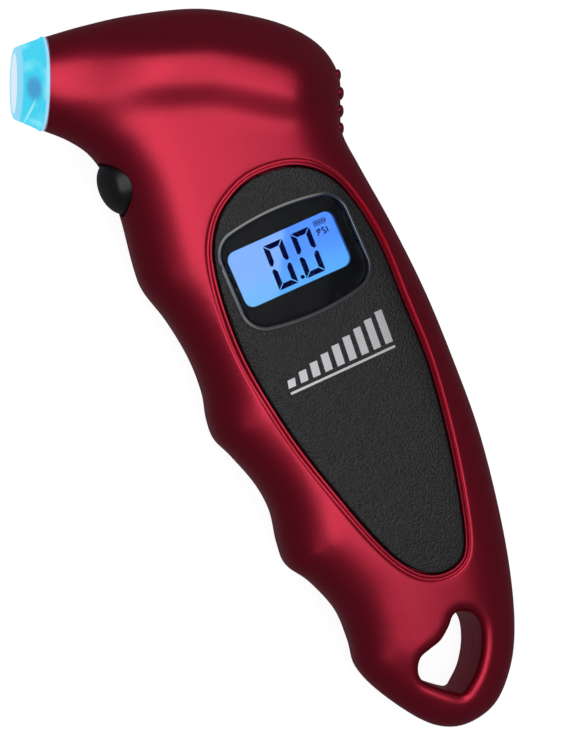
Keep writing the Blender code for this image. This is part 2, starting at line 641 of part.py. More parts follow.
def face_panel(black, axes):
    """The textured black plate in the casing's front, with the display's recess and window."""
    panel = crowned("face_panel", PANEL_LOOP, lambda p: front_height(p) + PARTING - PANEL_FLOOR,
                    PANEL_FLOOR, (2.0, 5.0, 9.0), spacing=5.5, reach=9, material=black)
    half_x, half_y = RECESS_HALF
    recess = barrel_loop(RECESS_SPOT, half_x, half_y, RECESS_BULGE)
    cut(panel, prism("display_recess", recess, LENS_FLOOR - GAP, THROUGH, parent=axes))
    cut(panel, block("display_opening", (*DISPLAY_OPENING, 8), (*LCD_SPOT, PANEL_FLOOR), parent=axes))


def display(finishes, axes):
    """The clear window, the liquid crystal glass, its light guide and lamp, frame and contact strips."""
    half_x, half_y = RECESS_HALF
    window = barrel_loop(RECESS_SPOT, half_x - GAP, half_y - GAP, RECESS_BULGE)
    prism("display_window", window, LENS_FLOOR, LENS_FLOOR + LENS_THICK, material=finishes["clear"],
          parent=axes)
    x, y = LCD_SPOT
    floor = BOARD_LOW + BOARD_THICK + GAP
    block("lcd_glass", LCD_SIZE, (x, y, LCD_MIDDLE), material=finishes["lcd"], parent=axes)
    white = {"material": finishes["white"], "parent": axes}
    block("light_guide", (21.6, 11.0, 2.2), (x - 1.0, y, floor + 1.4), **white)
    block("backlight_lamp", (1.0, 5.0, 1.6), (x + 11.0, y, floor + 1.2), **white)
    frame = block("display_frame", (27.0, 18.6, 2.6), (x, y, floor + 1.3), **white)
    cut(frame, block("display_frame_inside", (24.0, 16.0, 8), (x, y, 18.3), parent=axes))
    for side, label in ((1, "upper"), (-1, "lower")):
        block(f"contact_strip_{label}", (21.0, 0.9, 2.5), (x, y + side * 6.4, floor + 1.25),
              material=finishes["rubber"], parent=axes)


# ---------------------------------------------------------------- electronics


def circuit_board(finishes, axes):
    """The main board with its controller and crystal."""
    block("circuit_board", (27.0, 54.0, BOARD_THICK), (8.5, 13.0, BOARD_LOW + BOARD_THICK / 2),
          material=finishes["board"], parent=axes)
    face = BOARD_LOW + BOARD_THICK + GAP
    block("controller_chip", (9.0, 9.0, 1.4), (8.0, -3.0, face + 0.7), material=finishes["black"],
          parent=axes)
    block("crystal_can", (3.0, 8.0, 2.4), (17.0, -4.0, face + 1.2), material=finishes["steel"], parent=axes)


def pressure_sensor(finishes, axes):
    """A metal can under the board, with a port that points at the head."""
    x, y = SENSOR_SPOT
    top = BOARD_LOW - GAP
    can = ((0, 9.0), (3.7, 9.0), (4.0, 9.3), (4.0, top), (0, top))
    sensor = turned("pressure_sensor", can, Matrix.Translation((x, y, 0)), sides=20,
                    material=finishes["steel"], parent=axes)
    port = ((0, 0), (1.2, 0), (1.2, SENSOR_PORT), (0, SENSOR_PORT))
    place = Matrix.Translation((x, y, SENSOR_PORT_Z)) @ ALONG_Y
    join(sensor, turned("sensor_port", port, place, sides=12, parent=axes))


def button(finishes):
    """The domed oval cap with its flange and stem, and the plunger of the switch that it presses."""
    half_along, half_high = BUTTON_HALF[0] - GAP, BUTTON_HALF[1] - GAP
    # Radii here are shares of the cap's half sizes, and depths are from the casing's outline.
    turns = [math.radians(18 * k) for k in range(6)]
    dome = [(math.sin(t), -CAP_DOME + (CAP_DOME + CAP_SHOULDER) * (1 - math.cos(t))) for t in turns]
    cap = [*dome, (1, FLANGE_START), (1.1, FLANGE_START), (1.1, FLANGE_END), (0.25, FLANGE_END),
           (0.25, STEM_END), (0, STEM_END)]
    turned("button_cap", cap, BUTTON_PLACE, sides=28, squash=(half_high, half_along),
           material=finishes["black"])
    plunger = ((0, PLUNGER_START), (PLUNGER_RADIUS, PLUNGER_START), (PLUNGER_RADIUS, PLUNGER_END),
               (0, PLUNGER_END))
    turned("switch_plunger", plunger, BUTTON_PLACE, sides=14, material=finishes["white"])


def switch(finishes, axes):
    """The switch behind the button, on a small board of its own."""
    x, y = BUTTON_SPOT
    body = block("switch_body", (3.6, 6.2, 6.2), (x + SWITCH_DEPTH, y, PARTING),
                 material=finishes["black"], parent=axes)
    bore, end = PLUNGER_RADIUS + 0.4, PLUNGER_END + 1.2
    cut(body, turned("switch_bore", ((0, 8), (bore, 8), (bore, end), (0, end)), BUTTON_PLACE, sides=14))
    block("switch_board", (1.2, 9.0, 11.0), (x + SWITCH_BOARD_DEPTH, y, PARTING),
          material=finishes["board"], parent=axes)


# ---------------------------------------------------------------- nozzle


def nozzle(finishes):
    """The lit nozzle, the chuck inside it, its rubber seal, the pin that opens a valve, and the lamps."""
    tip, face = NOZZLE_TIP_X, COLLAR_X - GAP
    spigot = SOCKET_RADIUS - GAP
    lens = ((4.9, tip + 1.1), (5.9, tip + 0.1), (6.5, tip), (7.1, tip + 0.4), (7.4, tip + 1.2),
            (9.0, face - 0.9), (9.3, face - 0.7), (9.3, face), (spigot, face), (spigot, -41.0),
            (6.5, -41.0), (6.5, tip + 2.4), (4.9, tip + 1.9))
    turned("nozzle_lens", lens, NOZZLE_PLACE, sides=32, bored=True, material=finishes["lamp_blue"])
    front, seat = tip + 2.4 + GAP, -41.2
    chuck = ((STEM_BORE, front), (5.6, front), (6.2, front + 0.6), (6.2, -41.0), (4.2, -40.2),
             (4.2, -33.0), (2.0, -32.2), (2.0, -30.6), (2.4, -30.6), (1.7, -28.2), (1.0, -28.2),
             (1.0, seat), (STEM_BORE, seat))
    turned("nozzle_chuck", chuck, NOZZLE_PLACE, sides=28, bored=True, material=finishes["brass"])
    seal = ((1.9, -43.8), (3.2, -44.2), (4.1, -43.8), (4.1, -42.3), (1.9, -42.3))
    turned("nozzle_seal", seal, NOZZLE_PLACE, sides=24, bored=True, material=finishes["rubber"])
    pin = ((0, -46.2), (0.6, -46.2), (0.9, -45.8), (0.9, -42.0), (3.2, -42.0), (3.2, -41.5),
           (0.6, -41.5), (0.6, -39.5), (0, -39.5))
    turned("valve_pin", pin, NOZZLE_PLACE, sides=16, material=finishes["brass"])
    ring = ((4.6, -38.0), (7.8, -38.0), (7.8, -37.0), (4.6, -37.0))
    turned("lamp_board", ring, NOZZLE_PLACE, sides=28, bored=True, material=finishes["board"])
    for side, label in ((1, "upper"), (-1, "lower")):
        block(f"nozzle_lamp_{label}", (1.5, 2.6, 1.6), (-39.1, NOZZLE_Y + side * 6.2, PARTING),
              material=finishes["white"])


def hose_and_wires(finishes):
    """The air hose from the chuck to the sensor, and the wires to the lamps and to the switch."""
    x, y = SENSOR_SPOT
    hose = ((-27.6, NOZZLE_Y, PARTING), (-24.0, NOZZLE_Y, PARTING), (-17.5, 55.5, 13.4),
            handle_point(x, y + 12.0, SENSOR_PORT_Z), handle_point(x, y + SENSOR_PORT + GAP, SENSOR_PORT_Z))
    tube("air_hose", hose, HOSE_RADIUS, finishes["clear"])
    for side, colour in ((-1, "red"), (1, "black")):
        apart = 0.8 * side
        route = ((-36.4, 64.0, 15.4 + apart), (-31.0, 65.0, 15.6 + apart), (-20.0, 65.0, 16.0 + apart),
                 (-8.0 + 0.6 * side, 57.5 + 0.3 * side, 16.5 + 0.6 * side),
                 handle_point(13 + side, 44.5, 17.0), handle_point(13 + side, 38.5, 16.5))
        tube(f"lamp_wire_{colour}", route, WIRE_RADIUS, finishes[f"wire_{colour}"])
    start_x, start_y = BUTTON_SPOT[0] + 16.8, BUTTON_SPOT[1] - 3.0
    route = (handle_point(start_x, start_y, 17.5), handle_point(0.9, 42.2, 17.5),
             handle_point(1.8, 38.0, 16.5))
    tube("switch_wire", route, WIRE_RADIUS, finishes["wire_black"])


# ---------------------------------------------------------------- the model


def clear_scene():
    for obj in list(bpy.data.objects):
        bpy.data.objects.remove(obj, do_unlink=True)


def main():
    clear_scene()
    red = paint("red_metallic", (0.62, 0.02, 0.05), 0.35, 0.9)
    finishes = {
        "black": paint("black_plastic", (0.03, 0.03, 0.035), 0.5),
        "clear": paint("clear_plastic", (0.75, 0.8, 0.85), 0.1),
        "lcd": paint("lcd_glass", (0.15, 0.35, 0.95), 0.15),
        "white": paint("white_plastic", (0.85, 0.85, 0.85), 0.45),
        "rubber": paint("rubber", (0.05, 0.05, 0.05), 0.8),
        "board": paint("circuit_board", (0.03, 0.25, 0.1), 0.5),
        "steel": paint("steel", (0.6, 0.6, 0.62), 0.3, 1.0),
        "brass": paint("brass", (0.75, 0.58, 0.25), 0.3, 1.0),
        "lamp_blue": paint("lit_nozzle", (0.3, 0.8, 0.95), 0.2),
        "wire_red": paint("red_insulation", (0.6, 0.04, 0.03), 0.5),
        "wire_black": paint("black_insulation", (0.03, 0.03, 0.03), 0.5),
    }
    axes = handle_axes()
    front_shell(red)
    rear_shell(red)
    face_panel(finishes["black"], axes)
    display(finishes, axes)
    circuit_board(finishes, axes)
    pressure_sensor(finishes, axes)
    battery(finishes, axes)
    battery_door(finishes["black"])
    for i, spot in enumerate(SCREW_SPOTS):
        case_screw(f"case_screw_{i + 1}", spot, finishes["steel"])
    button(finishes)
    switch(finishes, axes)
    nozzle(finishes)
    hose_and_wires(finishes)


main()
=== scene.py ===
"""The finished look of a hand-held digital tire pressure gauge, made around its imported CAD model.

The gauge lies on its back with its display facing up. +Z is up, the nozzle points along -X, and
the handle runs towards -Y, leaning to +X by HANDLE_TILT. Sizes here are in millimetres, and add()
turns them into metres. The casing's outline and sections repeat the CAD model's, with finer steps.
"""

import math

import bmesh
import bpy
import numpy as np
from bpy.props import FloatProperty, FloatVectorProperty, IntProperty, PointerProperty, StringProperty
from mathutils import Matrix, Vector
from mathutils.geometry import delaunay_2d_cdt


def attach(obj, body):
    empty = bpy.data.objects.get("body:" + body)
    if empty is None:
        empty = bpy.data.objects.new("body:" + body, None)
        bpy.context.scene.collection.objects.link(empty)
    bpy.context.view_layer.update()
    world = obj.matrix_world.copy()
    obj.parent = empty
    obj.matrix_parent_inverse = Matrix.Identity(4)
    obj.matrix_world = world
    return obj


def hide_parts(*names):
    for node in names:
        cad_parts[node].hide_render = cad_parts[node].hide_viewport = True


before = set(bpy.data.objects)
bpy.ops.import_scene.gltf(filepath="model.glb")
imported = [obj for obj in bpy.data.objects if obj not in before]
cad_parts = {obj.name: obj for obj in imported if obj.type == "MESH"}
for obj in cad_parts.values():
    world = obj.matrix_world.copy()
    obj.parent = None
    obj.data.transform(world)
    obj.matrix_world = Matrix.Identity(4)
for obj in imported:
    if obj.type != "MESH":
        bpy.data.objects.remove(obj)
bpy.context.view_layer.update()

bl_info = {
    "name": "Tire Pressure Gauge",
    "version": (1, 0, 0),
    "blender": (4, 5, 0),
    "location": "3D View > Sidebar > Gauge",
    "description": "Builds a digital tire pressure gauge piece by piece",
    "category": "Object",
}

MM = 0.001

# ---------------------------------------------------------------- sizes shared with the CAD model, in mm

GAP = 0.3
WALL = 2.0
PARTING = 14.0  # height of the plane where the casing halves meet
HANDLE_TILT = math.radians(24)
HANDLE_ORIGIN = (3.1, 0.65)
EDGE_RADIUS = 12.0  # how far in from the outline the casing's sides are rounded
HANDLE_FRONT = 11.0  # front surface above the parting plane
TAIL_DROP, TAIL_LIFT, TAIL_SPAN = 3.0, 5.0, (36.0, 84.0)
CAVITY_END = 49.0
BACK_FULLNESS = 3.0  # how square the back's edges are: 2 is a quarter circle
CROWN_SHARE, CROWN_REACH = 0.14, 26.0
BARREL_RISE = 3.0
BARREL_GROWN_X = -22.0
BARREL_AXIS = ((-45.5, 57.0), (-28.0, 59.4), (-13.0, 60.3), (2.5, 57.5))
BARREL_REACH = (2.0, 9.5)
RIB_HALF, RIB_SIDES = (0.75, 1.35), 16  # a rib's half sizes, as shares of its radius
THUMB_RIBS = ((14.0, 60.2), (14.6, 56.6), (14.55, 53.0), (14.6, 49.4))
NOZZLE_Y, NOZZLE_RADIUS = 57.0, 9.3
COLLAR_X, NOZZLE_TIP_X = -45.5, -51.7
SOCKET_RADIUS, SOCKET_END_X = 8.3, -39.0
SCREW_SPOTS = ((6.0, 60.5), (-18.2, 21.6), (-4.0, -7.5), (33.0, -43.5))
SCREW_SHANK, SCREW_HEAD, SCREW_SEAT = 1.2, 2.2, 6.0
FRONT_BOSS, REAR_BOSS = 3.0, 3.6
DOOR_SPOT, DOOR_RADIUS, DOOR_LUG_RADIUS = (9.0, 3.0), 12.2, 13.6
DOOR_TURN, LUG_HALF_ANGLE = math.radians(-45), math.radians(13)
DOOR_LOW, DOOR_HIGH = 0.2, 3.2
BUTTON_SPOT = (-17.7, 46.9)
BUTTON_HALF = (5.9, 6.6)
CAP_DOME = 2.4
PANEL_FLOOR, PANEL_LEDGE = 21.0, 1.2
RECESS_SPOT, RECESS_HALF, RECESS_BULGE = (8.6, 19.6), (13.6, 10.6), 1.8
LENS_FLOOR, LENS_THICK = 22.6, 1.2
LCD_SPOT = (8.2, 20.3)
LCD_LOW, LCD_HIGH = 18.9, 20.7

# The casing's outline from the nozzle's collar over the head, down the back to the tail, and up the
# grip; the face plate's outline, an egg with its point at the tail; and the lanyard hole's.
CASING_POINTS = (
    (-45.5, 66.3), (-38.0, 68.7), (-28.0, 71.2), (-15.0, 72.9), (-3.5, 71.8), (5.0, 69.4),
    (11.0, 65.5), (14.3, 60.0), (14.6, 54.0), (15.0, 48.5), (18.5, 42.0), (25.5, 30.0),
    (32.5, 16.5), (38.5, 2.5), (43.8, -11.5), (48.0, -27.0), (50.7, -40.5), (51.8, -52.0),
    (51.0, -60.5), (48.0, -67.8), (43.0, -71.8), (37.5, -72.9), (31.5, -71.0), (23.5, -65.5),
    (18.8, -60.5), (17.2, -55.0), (14.5, -48.7), (9.0, -42.8), (4.4, -39.5), (2.5, -35.0),
    (1.0, -28.5), (-2.0, -23.0), (-7.0, -17.3), (-10.6, -13.7), (-12.2, -9.5), (-13.2, -4.0),
    (-16.0, 3.0), (-20.5, 10.3), (-25.2, 16.2), (-27.2, 21.0), (-29.8, 30.5), (-32.3, 37.5),
    (-36.0, 42.8), (-40.5, 45.8), (-45.5, 47.7),
)
PANEL_POINTS = (
    (-5.5, 38.2), (1.8, 40.6), (8.5, 39.6), (14.3, 35.2), (20.2, 26.5), (25.0, 14.8), (30.3, 2.0),
    (34.3, -12.5), (37.0, -26.0), (38.0, -34.5), (36.8, -38.2), (32.8, -40.3), (27.5, -39.4),
    (21.0, -34.5), (12.0, -24.5), (2.5, -12.5), (-5.5, 0.2), (-10.5, 11.5), (-13.2, 21.5),
    (-12.8, 28.5), (-10.2, 33.8),
)
HOLE_POINTS = (
    (38.0, -48.5), (40.6, -49.0), (42.6, -51.5), (43.0, -56.0), (42.0, -60.8), (40.2, -64.2),
    (39.3, -65.3), (37.6, -65.2), (33.6, -63.9), (30.6, -62.4), (29.6, -60.2), (30.0, -57.7),
    (31.9, -56.0), (34.0, -54.3), (35.6, -51.6), (36.5, -49.3),
)

# ---------------------------------------------------------------- steps and small details, in mm

OUTLINE_STEP, PANEL_STEP, HOLE_STEP = 0.9, 0.7, 0.6
SIDE_STEPS = 15  # rings of points up the casing's rounded side
GRID_STEP = 1.1
SHARP_ANGLE = math.radians(38)
CAVITY_GRID, CAVITY_ROWS = 4.0, (-0.4, -1.8, -4.2, -7.2, -10.0)
SOFTEN_GRID, SOFTEN_BLUR, SOFTEN_DEPTH = 0.7, 1.6, (3.0, 7.0)
# The bead and the groove round the face plate: distance out from its edge, and height.
GROOVE_PROFILE = (
    (0.30, -0.40), (0.35, -0.20), (0.48, -0.05), (0.70, 0.0), (0.92, -0.05), (1.05, -0.20), (1.12, -0.42),
    (1.32, -0.46), (1.52, -0.40), (1.62, -0.16), (1.80, -0.04), (2.15, 0.0),
)
PLATE_EDGE = ((0.0, -0.30), (0.08, -0.14), (0.22, -0.04), (0.5, 0.0))
RECESS_EDGE = ((0.0, -0.55), (0.08, -0.2), (0.2, 0.04), (0.38, 0.14), (0.58, 0.09), (0.8, 0.0))


# ---------------------------------------------------------------- outlines and heights


def smooth_curve(points, step, closed=False):
    """Points about step apart on a smooth curve through points, as tuples."""
    points = [Vector(p) for p in points]
    count = len(points)
    found = []
    for i in range(count if closed else count - 1):
        start, end = points[i], points[(i + 1) % count]
        before = points[i - 1] if closed or i > 0 else start
        after = points[(i + 2) % count] if closed or i + 2 < count else end
        pieces = max(1, round((end - start).length / step))
        for k in range(pieces):
            t = k / pieces
            found.append(
                0.5 * (2 * start + (end - before) * t
                       + (2 * before - 5 * start + 4 * end - after) * t * t
                       + (3 * start - 3 * end + after - before) * t * t * t)
            )
    if not closed:
        found.append(points[-1])
    return [tuple(p) for p in found]


def inset(loop, distance):
    """The loop moved to its left by distance; a clockwise loop grows, and a negative distance shrinks it."""
    points = np.array(loop)
    ahead = np.roll(points, -1, 0) - np.roll(points, 1, 0)
    ahead /= np.linalg.norm(ahead, axis=1)[:, None]
    return [tuple(p) for p in points + distance * np.stack([-ahead[:, 1], ahead[:, 0]], 1)]


def distance_to(line, points):
    """Each point's distance to a polyline, as an array."""
    line, points = np.array(line), np.array(points)
    best = np.full(len(points), np.inf)
    for start, end in zip(line[:-1], line[1:]):
        along = end - start
        offset = points - start
        share = np.clip(offset @ along / (along @ along), 0, 1)
        offset -= share[:, None] * along
        best = np.minimum(best, offset[:, 0] ** 2 + offset[:, 1] ** 2)
    return np.sqrt(best)


def inside(loop, points):
    """Whether each point is inside the closed loop, as an array."""
    loop, points = np.array(loop), np.array(points)
    crossed = np.zeros(len(points), bool)
    for (x0, y0), (x1, y1) in zip(loop, np.roll(loop, -1, 0)):
        spans = (y0 > points[:, 1]) != (y1 > points[:, 1])
        if y0 != y1:
            crossed ^= spans & (points[:, 0] < x0 + (points[:, 1] - y0) * (x1 - x0) / (y1 - y0))
    return crossed


def ease(low, high, value):
    """0 below low and 1 above high, with a smooth step between them."""
    t = np.clip((value - low) / (high - low), 0, 1)
    return t * t * (3 - 2 * t)


def closed(loop):
    return loop + loop[:1]


def collar_line(steps, x=COLLAR_X, radius=NOZZLE_RADIUS):
    """The points across the collar's end, between the ends of the casing's outline."""
    return [(x, NOZZLE_Y - radius * math.cos(math.pi * k / steps)) for k in range(1, steps)]


CASING_EDGE = smooth_curve(CASING_POINTS, OUTLINE_STEP)
CASING_ROUGH = smooth_curve(CASING_POINTS, 4.6)
CASING_LOOP = CASING_EDGE + collar_line(28)
CAVITY_LOOP = [p for p in inset(CASING_ROUGH, -WALL) if p[0] > COLLAR_X + WALL]
CAVITY_LOOP += [tuple(Vector(CAVITY_LOOP[-1]).lerp(Vector(CAVITY_LOOP[0]), k / 12)) for k in range(1, 12)]
PANEL_LOOP = smooth_curve(PANEL_POINTS, PANEL_STEP, closed=True)
HOLE_LOOP = smooth_curve(HOLE_POINTS, HOLE_STEP, closed=True)


def along_handle(points):
    """How far each point is towards the tail, measured down the handle."""
    return points @ np.array((math.sin(HANDLE_TILT), -math.cos(HANDLE_TILT)))


def quarter_round(share):
    """The height of a quarter circle of radius 1, from 0 at its edge to 1."""
    return np.sqrt(1 - (1 - np.clip(share, 0, 1)) ** 2)


def front_height(points, wall=0.0, edge=CASING_ROUGH):
    """The front surface above the parting plane, or the cavity's ceiling a wall's thickness below it."""
    points = np.array(points)
    grown = ease(COLLAR_X, BARREL_GROWN_X, points[:, 0])
    rise = BARREL_RISE * (1 - ease(*BARREL_REACH, distance_to(BARREL_AXIS, points)))
    level = HANDLE_FRONT - TAIL_DROP * ease(*TAIL_SPAN, along_handle(points)) + rise
    level = NOZZLE_RADIUS + (level - NOZZLE_RADIUS) * grown - wall
    radius = NOZZLE_RADIUS + (EDGE_RADIUS - NOZZLE_RADIUS) * grown - wall
    depth = distance_to(edge, points) - wall
    share = CROWN_SHARE * grown
    return level * ((1 - share) * quarter_round(depth / radius) + share * quarter_round(depth / CROWN_REACH))


def back_height(points, wall=0.0, edge=CASING_ROUGH):
    """The back surface below the parting plane: flat, apart from its edge, its tail and the nozzle's end."""
    points = np.array(points)
    grown = ease(COLLAR_X, BARREL_GROWN_X, points[:, 0])
    level = PARTING - TAIL_LIFT * ease(*TAIL_SPAN, along_handle(points))
    depth = np.clip((distance_to(edge, points) - wall) / (EDGE_RADIUS - wall), 0, 1)
    power = 2 + (BACK_FULLNESS - 2) * grown
    fullest = NOZZLE_RADIUS + (level - NOZZLE_RADIUS) * grown - wall
    return fullest * (1 - (1 - depth) ** power) ** (1 / power)


def softened(height):
    """The same height with the creases in the casing's middle rounded off, as a function of points."""
    low, high = np.min(CASING_LOOP, 0) - 5, np.max(CASING_LOOP, 0) + 5
    xs, ys = (np.arange(low[i], high[i], SOFTEN_GRID) for i in (0, 1))
    grid = np.stack(np.meshgrid(xs, ys, indexing="ij"), -1).reshape(-1, 2)
    raw = np.where(inside(CASING_ROUGH, grid), height(grid), 0).reshape(len(xs), len(ys))
    waves = [np.fft.fftfreq(len(axis), SOFTEN_GRID) for axis in (xs, ys)]
    damping = [np.exp(-2 * (math.pi * SOFTEN_BLUR * w) ** 2) for w in waves]
    soft = np.real(np.fft.ifft2(np.fft.fft2(raw) * damping[0][:, None] * damping[1][None, :]))

    def sample(points):
        points = np.array(points)
        exact = height(points, edge=CASING_EDGE)
        place = (points - low) / SOFTEN_GRID
        cell = np.floor(place).astype(int)
        (i, j), (u, v) = cell.T, (place - cell).T
        blended = (soft[i, j] * (1 - u) * (1 - v) + soft[i + 1, j] * u * (1 - v)
                   + soft[i, j + 1] * (1 - u) * v + soft[i + 1, j + 1] * u * v)
        share = ease(*SOFTEN_DEPTH, distance_to(CASING_ROUGH, points))
        share *= ease(COLLAR_X + 3, COLLAR_X + 9, points[:, 0])
        return exact + share * (blended - exact)

    return sample


def profiled(distance, profile):
    """The height that a profile of (distance, height) points gives at each distance."""
    return np.interp(distance, *zip(*profile))


def handle_point(across, up, z=0.0):
    """A point given in the handle's axes, in the row frame."""
    c, s = math.cos(HANDLE_TILT), math.sin(HANDLE_TILT)
    return Vector((HANDLE_ORIGIN[0] + across * c - up * s, HANDLE_ORIGIN[1] + across * s + up * c, z))


def in_row(loop):
    """A loop given in the handle's axes, in the row frame."""
    return [tuple(handle_point(x, y).xy) for x, y in loop]


HANDLE_PLACE = Matrix.Translation(handle_point(0, 0)) @ Matrix.Rotation(HANDLE_TILT, 4, "Z")
ALONG_X = Matrix.Rotation(math.radians(90), 4, "Y")
NOZZLE_PLACE = Matrix.Translation((0, NOZZLE_Y, PARTING)) @ ALONG_X
BUTTON_PLACE = (Matrix.Translation(handle_point(*BUTTON_SPOT, PARTING))
                @ Matrix.Rotation(HANDLE_TILT, 4, "Z") @ ALONG_X)
DOOR_PLACE = Matrix.Translation(handle_point(*DOOR_SPOT))


# ---------------------------------------------------------------- making meshes


def add(name, mesh, materials=(), place=Matrix()):
    """Links a mesh as an object at the origin, moving its points to a place and into metres."""
    mesh.transform(Matrix.Scale(MM, 4) @ place)
    mesh.shade_smooth()
    mesh.set_sharp_from_angle(angle=SHARP_ANGLE)
    for material in materials:
        mesh.materials.append(material)
    obj = bpy.data.objects.new(name, mesh)
    bpy.context.scene.collection.objects.link(obj)
    return obj


def mesh_of(bm, name, merge=0.0):
    if merge:
        bmesh.ops.remove_doubles(bm, verts=bm.verts, dist=merge)
    bmesh.ops.recalc_face_normals(bm, faces=bm.faces)
    mesh = bpy.data.meshes.new(name)
    bm.to_mesh(mesh)
    bm.free()
    return mesh


def triangles(points, loops):
    """The flat triangles between points, which start with the loops' own points, as an array of indexes."""
    edges, start = [], 0
    for loop in loops:
        edges += [(start + i, start + (i + 1) % len(loop)) for i in range(len(loop))]
        start += len(loop)
    made = delaunay_2d_cdt([Vector(p) for p in points], edges, [], 1, 1e-4)
    if len(made[0]) != len(points):
        raise RuntimeError("two points of a surface coincide")
    return np.array([face for face in made[2] if len(face) == 3])


def relief(name, loop, top, base, side=1, bands=(), holes=(), pocket=None, floor=0.0,
           spacing=GRID_STEP, **kind):
    """A closed solid over a loop: flat at base, and top(points) beyond it on the side that side says.

    bands are (loop, distances) with rows of points beside a loop, the most important first; holes go
    right through; and a pocket has a flat floor, and holes inside it start from there. Faces of the
    pocket take the second material.
    """
    loops = [loop, *holes] + ([pocket] if pocket else [])
    fixed = [p for path in loops for p in path]
    loose, taken = [], []
    for path, distances in bands:
        outline = closed(path)
        for distance in distances:
            row = np.array(inset(path, distance))
            keep = inside(loop, row) & (distance_to(outline, row) > 0.9 * abs(distance))
            for other, reach in taken:
                keep &= distance_to(other, row) > reach + 0.4
            loose.append(row[keep])
        taken.append((outline, max(abs(d) for d in distances)))
    low, high = np.min(loop, 0), np.max(loop, 0)
    grid = np.stack(np.meshgrid(*(np.arange(low[i], high[i], spacing) for i in (0, 1)), indexing="ij"), -1)
    grid = grid.reshape(-1, 2)
    keep = inside(loop, grid)
    for other, reach in taken:
        keep &= distance_to(other, grid) > reach + 0.5 * spacing
    loose.append(grid[keep])
    loose = np.concatenate(loose)
    for path in loops[1:] if len(fixed) > len(loop) else []:
        loose = loose[distance_to(closed(path), loose) > 0.03]
    flat = np.concatenate([np.array(fixed), loose])
    fine, rough = triangles(flat, loops), triangles(fixed, loops)
    heights = base + side * np.maximum(top(flat), 0)
    bm = bmesh.new()
    over = [bm.verts.new((x, y, z)) for (x, y), z in zip(flat, heights)]
    under = [bm.verts.new((x, y, base)) for x, y in fixed]
    sunk = [bm.verts.new((x, y, floor)) for x, y in fixed] if pocket else []

    def kept(faces):
        """Which faces are in no hole, and which are in the pocket."""
        middles = flat[faces].mean(1)
        solid = np.ones(len(faces), bool)
        for hole in holes:
            solid &= ~inside(hole, middles)
        return solid, inside(pocket, middles) if pocket else np.zeros(len(faces), bool)

    solid, sunken = kept(fine)
    for face in fine[solid & ~sunken]:
        bm.faces.new([over[i] for i in face])
    solid, sunken = kept(rough)
    for face in rough[solid]:
        bm.faces.new([under[i] for i in face])
    for face in rough[solid & sunken]:
        bm.faces.new([sunk[i] for i in face]).material_index = 1
    start = 0
    for path in loops:
        in_pocket = bool(pocket) and path is not pocket and bool(inside(pocket, path[:1])[0])
        upper, lower = (sunk if in_pocket else over), (sunk if path is pocket else under)
        for i in range(len(path)):
            a, b = start + i, start + (i + 1) % len(path)
            wall = bm.faces.new((upper[a], upper[b], lower[b], lower[a]))
            wall.material_index = 1 if in_pocket or path is pocket else 0
        start += len(path)
    loose_verts = [v for v in bm.verts if not v.link_faces]
    bmesh.ops.delete(bm, geom=loose_verts, context="VERTS")
    return add(name, mesh_of(bm, name, merge=0.012), **kind)


def prism(name, loop, low, high, **kind):
    """A loop extruded from one height to another."""
    bm = bmesh.new()
    bottom = bm.faces.new([bm.verts.new((x, y, low)) for x, y in loop])
    made = bmesh.ops.extrude_face_region(bm, geom=[bottom])["geom"]
    tops = [v for v in made if isinstance(v, bmesh.types.BMVert)]
    bmesh.ops.translate(bm, verts=tops, vec=(0, 0, high - low))
    return add(name, mesh_of(bm, name), **kind)


def turned(name, profile, place=Matrix(), sides=64, squash=(1, 1), bored=False, **kind):
    """A profile of (radius, height) points turned about Z, at a place.

    A solid's profile starts and ends on the axis, and a bored one's closes on itself.
    """
    bm = bmesh.new()
    rings = []
    for radius, height in profile:
        ring = []
        for k in range(sides if radius > 0 else 1):
            angle = 2 * math.pi * k / sides
            ring.append(bm.verts.new((radius * squash[0] * math.cos(angle),
                                      radius * squash[1] * math.sin(angle), height)))
        rings.append(ring)
    for low, high in zip(rings, rings[1:] + rings[:1]) if bored else zip(rings, rings[1:]):
        for k in range(sides):
            corners = [low[k % len(low)], low[(k + 1) % len(low)],
                       high[(k + 1) % len(high)], high[k % len(high)]]
            bm.faces.new(list(dict.fromkeys(corners)))
    return add(name, mesh_of(bm, name), place=place, **kind)


def change(target, others, operation):
    """Cuts solids from target, or joins them on."""
    for other in others:
        modifier = target.modifiers.new(other.name, "BOOLEAN")
        modifier.object = other
        modifier.operation = operation
        modifier.solver = "EXACT"


def cut(target, *others):
    change(target, others, "DIFFERENCE")


def join(target, *others):
    change(target, others, "UNION")


def made_plain(obj):
    """Turns what the modifiers give into the object's own mesh, and removes the solids that they used."""
    helpers = [m.object for m in obj.modifiers if m.type == "BOOLEAN"]
    for helper in helpers:
        if helper.modifiers:
            made_plain(helper)
    bpy.context.view_layer.update()
    result = obj.evaluated_get(bpy.context.evaluated_depsgraph_get())
    mesh = bpy.data.meshes.new_from_object(result)
    obj.modifiers.clear()
    obj.data = mesh
    mesh.shade_smooth()
    mesh.set_sharp_from_angle(angle=SHARP_ANGLE)
    for helper in helpers:
        bpy.data.objects.remove(helper)
    return obj


def place_piece(obj, body, slot, *nodes):
    """Puts a finished piece on its body, in place of the CAD nodes it stands for. The slot argument is not
    used.
    """
    if obj.modifiers:
        made_plain(obj)
    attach(obj, body)
    if nodes:
        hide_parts(*nodes)


# ---------------------------------------------------------------- making materials


def node(tree, kind, sockets=(), **settings):
    """Adds a node whose inputs take the given constants, or other nodes' outputs."""
    made = tree.nodes.new(kind)
    for key, value in settings.items():
        setattr(made, key, value)
    for key, value in dict(sockets).items():
        if isinstance(value, bpy.types.NodeSocket):
            tree.links.new(value, made.inputs[key])
        else:
            made.inputs[key].default_value = value
    return made


